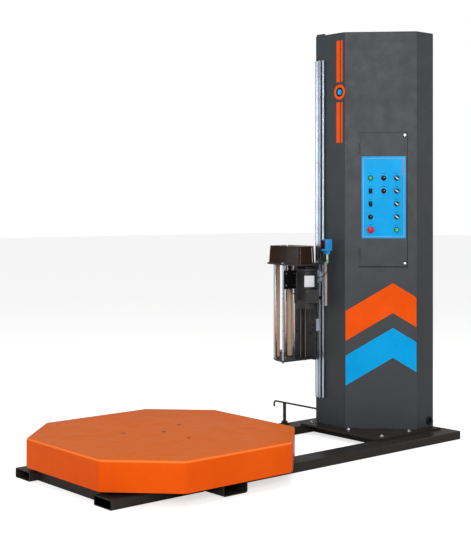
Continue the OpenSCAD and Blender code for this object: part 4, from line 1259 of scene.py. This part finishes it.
def rollers():
    """Chromed idlers with grooved ends, and tan rubber pre-stretch rollers with steel end caps."""
    foot, head = 458 * MM, 1012 * MM
    for i in (1, 2, 3):
        node = f"idler_roller_{i}"
        c = centre_of(node)
        low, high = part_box(node)
        profile = [(3.95, low.z / MM), (3.95, foot / MM - 4), (6.6, foot / MM - 3.4), (6.6, foot / MM - 0.6),
                   (8.3, foot / MM - 0.4), (9.0, foot / MM + 0.6), (9.0, head / MM - 0.6), (8.3, head / MM + 0.2),
                   (6.6, head / MM + 0.5), (6.6, head / MM + 2.6), (3.95, head / MM + 2.8), (3.95, high.z / MM)]
        mesh = turned_mm("idler", profile, 40)
        mesh.transform(shift(c.x, c.y))
        add_object(node + "_turned", mesh, "roller_chrome", BODY_OF[node], node)
    for i in (1, 2):
        node = f"prestretch_roller_{i}"
        c = centre_of(node)
        low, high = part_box(node)
        sleeve = [(13, 459.5), (18.3, 459.5), (19.0, 460.4), (19.0, 1009.6), (18.3, 1010.5), (13, 1010.5)]
        mesh = turned_mm("sleeve", sleeve, 48)
        mesh.transform(shift(c.x, c.y))
        add_object(node + "_sleeve", mesh, "tan_rubber", BODY_OF[node], node)
        core = [(5.95, low.z / MM), (5.95, 454.4), (12.8, 454.6), (17, 455.2), (17.2, 459.5), (17.2, 460.2),
                (13.2, 460.2), (13.2, 1009.8), (17.2, 1009.8), (17.2, 1012.0), (12.8, 1012.4), (5.95, 1012.6),
                (5.95, high.z / MM)]
        mesh = turned_mm("core", core, 40)
        mesh.transform(shift(c.x, c.y))
        add_object(node + "_core", mesh, "machine_steel", BODY_OF[node])
        pulleys = [(26, 1033), (30, 1051)] if i == 2 else [(20, 1033)]
        for k, (r, z) in enumerate(pulleys):
            mesh = timing_pulley(r, 12)
            mesh.transform(shift(c.x, c.y, z * MM))
            add_object(f"{node}_pulley_{k + 1}", mesh, "machine_steel", BODY_OF[node])


def timing_pulley(radius, width):
    """Toothed pulley between two flanges, in millimetres."""
    teeth = int(radius * 1.25)
    outline = []
    for k in range(teeth):
        for part, r in ((0, radius), (0.45, radius), (0.55, radius - 1.2), (0.9, radius - 1.2)):
            a = 2 * math.pi * (k + part) / teeth
            outline.append(((r - 0.1) * MM * math.cos(a), (r - 0.1) * MM * math.sin(a)))
    parts = [(extrude_outline("teeth", outline, 0.4 * MM, (width - 0.4) * MM), Matrix())]
    for z in (0, width - 1):
        parts.append((turned("flange", [((radius - 4) * MM, z * MM), ((radius + 0.1) * MM, z * MM),
                                        ((radius + 0.1) * MM, (z + 1) * MM), ((radius - 4) * MM, (z + 1) * MM)]),
                      Matrix()))
    return merged("pulley", parts)


def threaded_rod(name, x, y, radius, low, high, plates, finish, node=None):
    """Plated rod with turned-down threaded ends, and a nut and washer outside each plate."""
    foot, head = plates
    def thread(z, top):
        ridges = []
        while z < top - 1:
            ridges += [(radius - 0.9, z), (radius - 1.5, z + 0.8)]
            z += 1.6
        return ridges

    profile = [(radius - 1.6, low + 0.6), (radius - 1, low)] + thread(low, foot[0])
    profile += [(radius - 1, foot[0]), (radius - 1, foot[1]), (radius, foot[1] + 0.5), (radius, head[0] - 0.5),
                (radius - 1, head[0]), (radius - 1, head[1])]
    profile += thread(head[1], high) + [(radius - 1, high - 0.6), (radius - 1.8, high)]
    parts = [(turned_mm("rod", profile, 24), shift(x, y))]
    across = (radius + 3) * 1.6
    for z, way in ((foot[0], -1), (head[1], 1)):
        flip = TO_FLOOR if way < 0 else Matrix()
        washer = turned_mm("washer", [(radius, 0), (radius + 4.2, 0), (radius + 4.2, 1.2), (radius, 1.2)])
        parts.append((washer, shift(x, y, z * MM) @ flip))
        parts.append((hex_head(across * MM, 4.6 * MM), shift(x, y, (z + way * 1.2) * MM) @ flip
                      @ rotation(x * 60 + y * 40, "Z")))
    mesh = merged(name, parts)
    return add_object(name, mesh, finish, "carriage", *([node] if node else []))


def rods():
    """The four tie rods between the plates."""
    foot, head, (low, high) = ([corner.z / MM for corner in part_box(node)] for node in
                               ("carriage_bottom_plate", "carriage_top_plate", "tie_rods"))
    for i, (x, y, r) in enumerate(((1.087, 0.282, 5), (1.305, 0.358, 4), (1.300, 0.312, 4), (1.300, 0.479, 4))):
        threaded_rod(f"tie_rod_{i + 1}", x, y, r, low, high - 0.4, (foot, head),
                     "chain_steel" if i else "zinc", None if i else "tie_rods")


def plates():
    """Carriage plates, with rounded edges and bearing caps under each shaft."""
    for node in ("carriage_top_plate", "carriage_bottom_plate", "carriage_back_plate"):
        rounded_node(node, 0.8)
    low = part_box("carriage_bottom_plate")[0].z
    caps = []
    for node in ("idler_roller_1", "idler_roller_2", "idler_roller_3", "prestretch_roller_1", "prestretch_roller_2"):
        c = centre_of(node)
        wide = 13 if node.startswith("pre") else 9
        cap = [(wide * 0.55, 0), (wide, 0), (wide, 2.2), (wide - 1, 3), (wide - 3, 3.2), (0, 3.2)]
        mesh = turned_mm("cap", cap, 28)
        caps.append((mesh, shift(c.x, c.y, low) @ TO_FLOOR))
    add_parts("bearing_caps", caps, "zinc", "carriage")
    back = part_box("carriage_back_plate")[0].x
    bolts = []
    for z in (600, 780, 960):
        for y in (300, 420):
            place = shift(back, y * MM, z * MM) @ TO_LEFT
            bolts.append((bolt_with_washer(7 * MM), place))
    add_parts("back_plate_bolts", bolts, "frame_paint", "carriage")


def shoes():
    """Plastic guide shoes, each held by two sunk screws."""
    rounded_node("guide_shoes", 0.8, "shoe_plastic")
    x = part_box("carriage_back_plate")[0].x
    screws = []
    for z in (633, 669, 923, 959):
        place = shift(x, 0.281, z * MM) @ TO_LEFT
        screws.append((cap_screw(5 * MM, 2.4 * MM), place))
    add_parts("shoe_screws", screws, "chain_steel", "carriage")


def junction():
    """Plastic box with a lid seam and two bright screws, and a lead down to the motor."""
    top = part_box("junction_box")[1].z
    body = cuboid((1.110, 0.300, 0.874), (1.198, 0.316, 0.982))
    lid = cuboid((1.108, 0.290, 0.873), (1.200, 0.299, 0.983))
    stand = cuboid((1.140, 0.296, 0.982), (1.165, 0.300, top))
    for name, mesh, width, finish in (("junction_body", body, 1.5, "black_plastic"),
                                      ("junction_lid", lid, 2.2, "black_plastic"),
                                      ("junction_stand", stand, 0.4, "zinc")):
        made = add_object(name, mesh, finish, "carriage", *(["junction_box"] if name == "junction_body" else []))
        smooth_by_angle(made.data)
        soften(made, width, 3)
    screws = []
    for z in (0.894, 0.966):
        screws.append((pan_screw(6 * MM, 3 * MM, False),
                       shift(1.124, 0.290, z) @ TO_NEAR))
    for z in (0.894, 0.966):
        screws.append((pan_screw(4 * MM, 2 * MM),
                       shift(1.188, 0.290, z) @ TO_NEAR))
    add_parts("junction_screws", screws, "zinc", "carriage")
    route = [(1.176, 0.312, 0.880), (1.176, 0.312, 0.862), (1.183, 0.303, 0.846), (1.197, 0.290, 0.838),
             (1.212, 0.280, 0.845)]
    add_object("junction_lead", sweep("junction_lead", route, 3 * MM), "cable_black", "carriage")


def sensor():
    """Photo-eye on its bracket: window, cream connector, green ring, and a cable in smooth bends."""
    top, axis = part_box("carriage_top_plate")[1].z, shift(*SENSOR_AXIS)
    angle = [(cuboid((1.220, 0.139, top), (1.318, 0.144, top + 26 * MM)), Matrix()),
             (cuboid((1.220, 0.1435, top), (1.236, 0.154, top + 3 * MM)), Matrix()),
             (cuboid((1.292, 0.139, top + 25 * MM), (1.312, 0.144, 1.125)), Matrix())]
    soften(add_parts("sensor_angle", angle, "black_motor", "carriage", "sensor_bracket"), 0.6)
    # The bracket strip is pale matte paint in place of plated metal: its lightness is a painted reflection.
    strip = rounded_plate(16 * MM, top + 10 * MM - 0.775, 3 * MM, 0, 6 * MM)
    strip.transform(shift(1.298, 0.139, (top + 10 * MM + 0.775) / 2) @ TO_NEAR)
    smooth_by_angle(strip)
    soften(add_object("sensor_strip", strip, "galvanised", "carriage", slot="zinc"), 0.5)
    eye = rounded_node("photo_eye", 1.6)
    eye.modifiers["soften"].segments = 3
    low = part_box("photo_eye")[0]
    window = rounded_plate(28.6 * MM, 51.6 * MM, 2.5 * MM, -0.2 * MM, 2.3 * MM)
    window.transform(shift(low.x + 2.0 * MM, 0.123, 1.1385) @ LEFT_FACE)
    soften(add_object("sensor_window", window, "red_window", "carriage", slot="red_plastic"), 0.5)
    body = [(5.4, 1050.4), (6.6, 1051), (6.6, 1056), (5.9, 1057), (5.9, 1074), (6.8, 1075), (6.8, 1080.2),
            (4, 1080.4)]
    mesh = turned_mm("connector", body, 36)
    mesh.transform(axis)
    add_object("sensor_connector", mesh, "cream_plastic", "carriage", slot="white_plastic")
    ring = [(3.2, 1025.6), (5.2, 1026), (6.4, 1029), (6.9, 1033), (6.9, 1046), (6.5, 1049.6), (5.4, 1050.6)]
    mesh = turned_mm("ring", ring, 36)
    mesh.transform(axis)
    add_object("sensor_ring", mesh, "pale_green", "carriage", slot="green_plastic")
    tooth = cuboid((6.6 * MM, -0.55 * MM, 1.033), (7.4 * MM, 0.55 * MM, 1.046))
    knurl = [(tooth, axis @ turn) for turn in around(18)]
    add_parts("sensor_knurl", knurl, "pale_green", "carriage", slot="green_plastic")
    led = turned_mm("led", [(3, 0), (3, 0.8), (2, 1.6), (0, 1.9)], 20)
    led.transform(shift(1.277, 0.1075, 1.157) @ TO_NEAR)
    add_object("sensor_lamp", led, "yellow_plastic", "carriage", slot="white_plastic")
    route = [(1.298, 0.124, 1.027), (1.298, 0.124, 1.012), (1.297, 0.122, 0.996), (1.293, 0.121, 0.980),
             (1.287, 0.124, 0.967), (1.283, 0.133, 0.956), (1.282, 0.145, 0.949), (1.280, 0.156, 0.945),
             (1.276, 0.1644, 0.9434), (1.27047, 0.17097, 0.943)]
    add_object("sensor_lead", sweep("sensor_lead", route, 2.5 * MM), "cable_black", "carriage", "sensor_cable")
    gland = [(6.0, 0), (7.4, 0.4), (7.4, 4), (6.2, 4.6), (6.2, 7), (4.8, 8.6), (2.4, 9.0)]
    mesh = turned_mm("gland", gland, 6)
    mesh.transform(shift(*MOTOR_AXIS, 0.943) @ rotation(math.radians(-40), "Z")
                   @ shift(60 * MM, 0, 0) @ TO_RIGHT)
    add_object("motor_lead_gland", mesh, "black_plastic", "carriage")
    screw = pan_screw(5 * MM, 3 * MM)
    screw.transform(shift(1.231, 0.139, 1.037) @ TO_NEAR)
    add_object("bracket_screw", screw, "zinc", "carriage")


def belts():
    """Drive belts and the motor pulley."""
    rounded_node("stretch_belts", 0.3)
    c = centre_of("motor_pulley")
    low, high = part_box("motor_pulley")
    shaft = turned("shaft", [(7.9 * MM, low.z), (7.9 * MM, high.z - 0.5 * MM), (7.2 * MM, high.z)], 32)
    mesh = merged("pulley", [(shaft, shift(c.x, c.y)),
                             (timing_pulley(22, 12), shift(c.x, c.y, high.z - 12 * MM))])
    add_object("motor_pulley_teeth", mesh, "machine_steel", "motor_pulley", "motor_pulley")


def spindle():
    """Core spindle: ribbed grip, chamfered nose, and its carrying disc."""
    node = "film_spindle"
    c = centre_of(node)
    low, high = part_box(node)
    z0 = low.z / MM
    profile = [(9.9, z0), (9.9, z0 + 10), (16, z0 + 10.4), (66, z0 + 10.8), (70, z0 + 12.5), (70, z0 + 16),
               (69, z0 + 16.8), (40, z0 + 17), (36.4, z0 + 18)]
    top = high.z / MM
    z = z0 + 24
    while z < top - 30:
        profile += [(36.4, z), (36.9, z + 1), (36.9, z + 30), (36.4, z + 31)]
        z += 36
    profile += [(36.6, top - 16), (35.5, top - 6), (31, top - 1), (27, top), (0, top)]
    mesh = turned_mm("spindle", profile, 56)
    mesh.transform(shift(c.x, c.y))
    add_object("film_spindle_turned", mesh, "machine_steel", "film_spindle", node)


# ---------------------------------------------------------------- film tail holder, grommet and hidden drives
def tail_holder():
    """Bent rod, its socket, and the weld fillets round them."""
    # The post wears a lighter copy of the frame enamel: painted highlight.
    post = rounded_node("film_tail_post", 0.5, "worn_paint")
    post.modifiers.remove(post.modifiers["soften"])
    rounded_node("tail_post_socket", 0.8)
    x, y = 1.211, 0.402
    bead = turned("bead", [(5.5 * MM, -5 * MM), (10.4 * MM, -6 * MM), (9.8 * MM, -1 * MM), (6.6 * MM, 2 * MM)], 28)
    bead.transform(shift(x, y, 0.177))
    add_object("tail_post_weld", bead, "frame_paint", "tail_post")
    ring = [(19.0, 48.3), (23.2, 52.2), (22.0, 54.0), (19.0, 57.0)]
    mesh = turned_mm("fillet", ring, 36)
    mesh.transform(shift(x, y, 0))
    add_object("tail_socket_weld", mesh, "frame_paint", "base")


def grommet():
    """Rubber grommet with a moulded lip, and the cable gland for the supply on the right face."""
    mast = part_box("mast_column")
    x, y, z = mast[1].x - 35 * MM, mast[0].y, 0.096
    lip = [(11.2, -8), (11.2, 4.6), (12.6, 6.4), (16.0, 6.9), (22.4, 6.2), (24.6, 4.2), (25, 1.2), (24.6, 0.05),
           (19.6, 0), (19.6, -8.6), (11.2, -9)]
    mesh = turned_mm("lip", lip, 48)
    mesh.transform(shift(x, y, z) @ TO_NEAR)
    add_object("grommet_lip", mesh, "black_plastic", "base", "cable_grommet")
    gland = [(8.4, 0), (9, 0.4), (9, 3.4), (7.0, 3.8), (7.0, 7.6), (6.0, 9.6), (3.6, 10), (3.4, 6), (0, 6)]
    mesh = turned_mm("gland", gland, 24)
    mesh.transform(shift(mast[1].x, y + 12 * MM, 0.084) @ TO_RIGHT)
    add_object("supply_gland", mesh, "black_plastic", "base")


def sprockets():
    """Edges of the chain wheels, the turning frame and the support rollers."""
    for node in ("drive_sprocket", "upper_lift_sprocket", "lower_lift_sprocket", "lift_chain",
                 "turntable_frame"):
        rounded_node(node, 0.4)
    for i in (1, 2, 3, 4):
        rounded_node(f"support_roller_{i}", 1.5)
    rounded_node("lift_gearmotor", 2.5)
    rounded_node("control_enclosure", 0.6)


# ---------------------------------------------------------------- what the covers hide
def chain_path(a, ra, b, rb, step):
    """Points and headings of evenly spaced pins on a chain round two wheels whose centres lie along X."""
    gap = b - a
    lean = math.acos((ra - rb) / gap)
    run = gap * math.sin(lean)
    parts = [run, 2 * rb * lean, run, 2 * ra * (math.pi - lean)]
    count = 2 * round(sum(parts) / step / 2)
    pins = []
    for k in range(count):
        d = k * sum(parts) / count
        if d < parts[0]:
            way = lean - math.pi / 2
            at = Vector((a + ra * math.cos(lean) + d * math.cos(way), ra * math.sin(lean) + d * math.sin(way)))
        elif d < sum(parts[:2]):
            turn = lean - (d - parts[0]) / rb
            at, way = Vector((b + rb * math.cos(turn), rb * math.sin(turn))), turn - math.pi / 2
        elif d < sum(parts[:3]):
            way, t = -lean - math.pi / 2, d - sum(parts[:2])
            at = Vector((b + rb * math.cos(lean) + t * math.cos(way), -rb * math.sin(lean) + t * math.sin(way)))
        else:
            turn = -lean - (d - sum(parts[:3])) / ra
            at, way = Vector((a + ra * math.cos(turn), ra * math.sin(turn))), turn - math.pi / 2
        pins.append((at, way))
    return pins


def drive_chain():
    """Roller chain round the turntable's wheel: side plates, pins and rollers on the CAD band's own path."""
    low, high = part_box("drive_chain")
    ra, thick = (high.y - low.y) / 2, 6 * MM
    rb = 32 * MM + thick
    b = high.x - rb
    pitch = 15.875 * MM
    plate = rounded_plate(pitch * 1.4, thick * 0.92, thick * 0.45, 0, 0.9 * MM, 3)
    pin = turned("pin", [(0, 0), (1.7 * MM, 0), (1.7 * MM, high.z - low.z), (0, high.z - low.z)], 8)
    barrel = turned_mm("barrel", [(1.7, 0), (2.6, 0), (2.6, 3.4), (1.7, 3.4)], 10)
    parts = []
    middle = (low.z + high.z) / 2
    for k, (at, way) in enumerate(chain_path(0, ra - thick / 2, b, rb - thick / 2, pitch)):
        place = shift(at.x, at.y, 0) @ rotation(way, "Z")
        reach = (high.z - low.z) / 2 - (0.9 if k % 2 else 2.0) * MM
        for z in (middle + reach, middle - reach - 0.9 * MM):
            parts.append((plate, place @ shift(pitch / 2, 0, z)))
        parts.append((pin, place @ shift(0, 0, low.z)))
        parts.append((barrel, place @ shift(0, 0, middle - 1.7 * MM)))
    add_parts("drive_chain_links", parts, "chain_steel", "base", "drive_chain")


def gearmotors():
    """Cooling fins and the slots of the fan cowls on the two drives."""
    for node, z, y, start, length, r in (("turntable_gearmotor", 0.066, 0.0, 0.390, 0.150, 0.042),
                                         ("lift_gearmotor", 0.170, None, 1.475, 0.190, 0.050)):
        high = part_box(node)[1]
        if y is None:
            y = high.y - 55 * MM
        fin = cuboid((0, -0.9 * MM, r - 1 * MM), (length - 12 * MM, 0.9 * MM, r + 3.6 * MM))
        fins = [(fin, shift(start + 6 * MM, y, z) @ turn) for turn in around(28, "X")]
        add_parts(node + "_fins", fins, "cast_housing", "base")
        slot = cuboid((0, -2.2 * MM, 0.38 * r), (0.6 * MM, 2.2 * MM, 0.86 * r))
        slots = [(slot, shift(high.x - 0.3 * MM, y, z) @ turn) for turn in around(10, "X")]
        add_parts(node + "_fan_slots", slots, "black_plastic", "base")


def enclosure_inside():
    """Mounting rails, coloured wires and screws on the back wall of the control box, seen with the door open."""
    box_left, box_low, wall = 99 * MM, 1008 * MM, -121 * MM
    for name, up in (("lower_rail", 150 * MM), ("upper_rail", 422 * MM)):
        mesh = rounded_plate(118 * MM, 35 * MM, 0.8 * MM, 0, 7 * MM)
        on_face("din_" + name, mesh, "zinc", box_left + 205 * MM, box_low + up, wall, "base")
    rng = random.Random(11)
    wires = {"label_blue": [], "label_black": [], "label_red": []}
    for k in range(9):
        finish = ("label_blue", "label_black", "label_red")[k % 3]
        x = 154 + 10 * k
        sag = rng.uniform(-6, 6)
        route = [(x, 182, -84), (x, 205, -78 + sag * 0.5), (x + sag, 250, -92), (x * 0.5 + 95 + sag, 320, -96),
                 (158 + 9 * k, 368, -88), (158 + 9 * k, 382, -82)]
        tube = sweep("wire", [(px * MM, py * MM, pz * MM) for px, py, pz in route], 1.3 * MM, 8)
        wires[finish].append((tube, Matrix()))
    for finish, tubes in wires.items():
        on_face("wires_" + finish[6:], merged("wires", tubes), finish, box_left, box_low, 0, "base")
    screws = []
    for x in (14, 265):
        for y in (16, 396, 776):
            screws.append((pan_screw(4 * MM, 2 * MM), shift(x * MM, y * MM, 0)))
    on_face("enclosure_screws", merged("screws", screws), "zinc", box_left, box_low, wall, "base")


def louvre_hoods():
    """Slanted blades in the slots low on the back cover."""
    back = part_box("mast_back_cover")[1].x
    outline = [(0, 0), (2.6, -1.6), (3.0, -4.6), (2.3, -4.6), (1.9, -2.2), (0, -1.0)]
    hood = extrude_outline("hood", [(x * MM, z * MM) for x, z in outline], -24 * MM, 24 * MM)
    parts = []
    for y in (-201, -116, -31, 54, 139):
        for i in range(6):
            z = 246.5 + 14 * i
            place = Matrix(((1, 0, 0, back - 3.2 * MM), (0, 0, 1, y * MM), (0, 1, 0, z * MM), (0, 0, 0, 1)))
            parts.append((hood, place))
    add_parts("louvre_hoods", parts, "mast_powder", "base")


# ---------------------------------------------------------------- assembly
camera()
studio()
for node, mesh_object in frame["nodes"].items():
    mesh_object.data.materials.clear()
    mesh_object.data.materials.append(FINISH[SLOT_OF[node]])
deck()
base_frame()
foot_bolts()
mast()
rail()
mast_graphics()
door()
gear_cover()
motor()
rollers()
rods()
plates()
shoes()
junction()
sensor()
belts()
spindle()
tail_holder()
grommet()
sprockets()
drive_chain()
gearmotors()
enclosure_inside()
louvre_hoods()
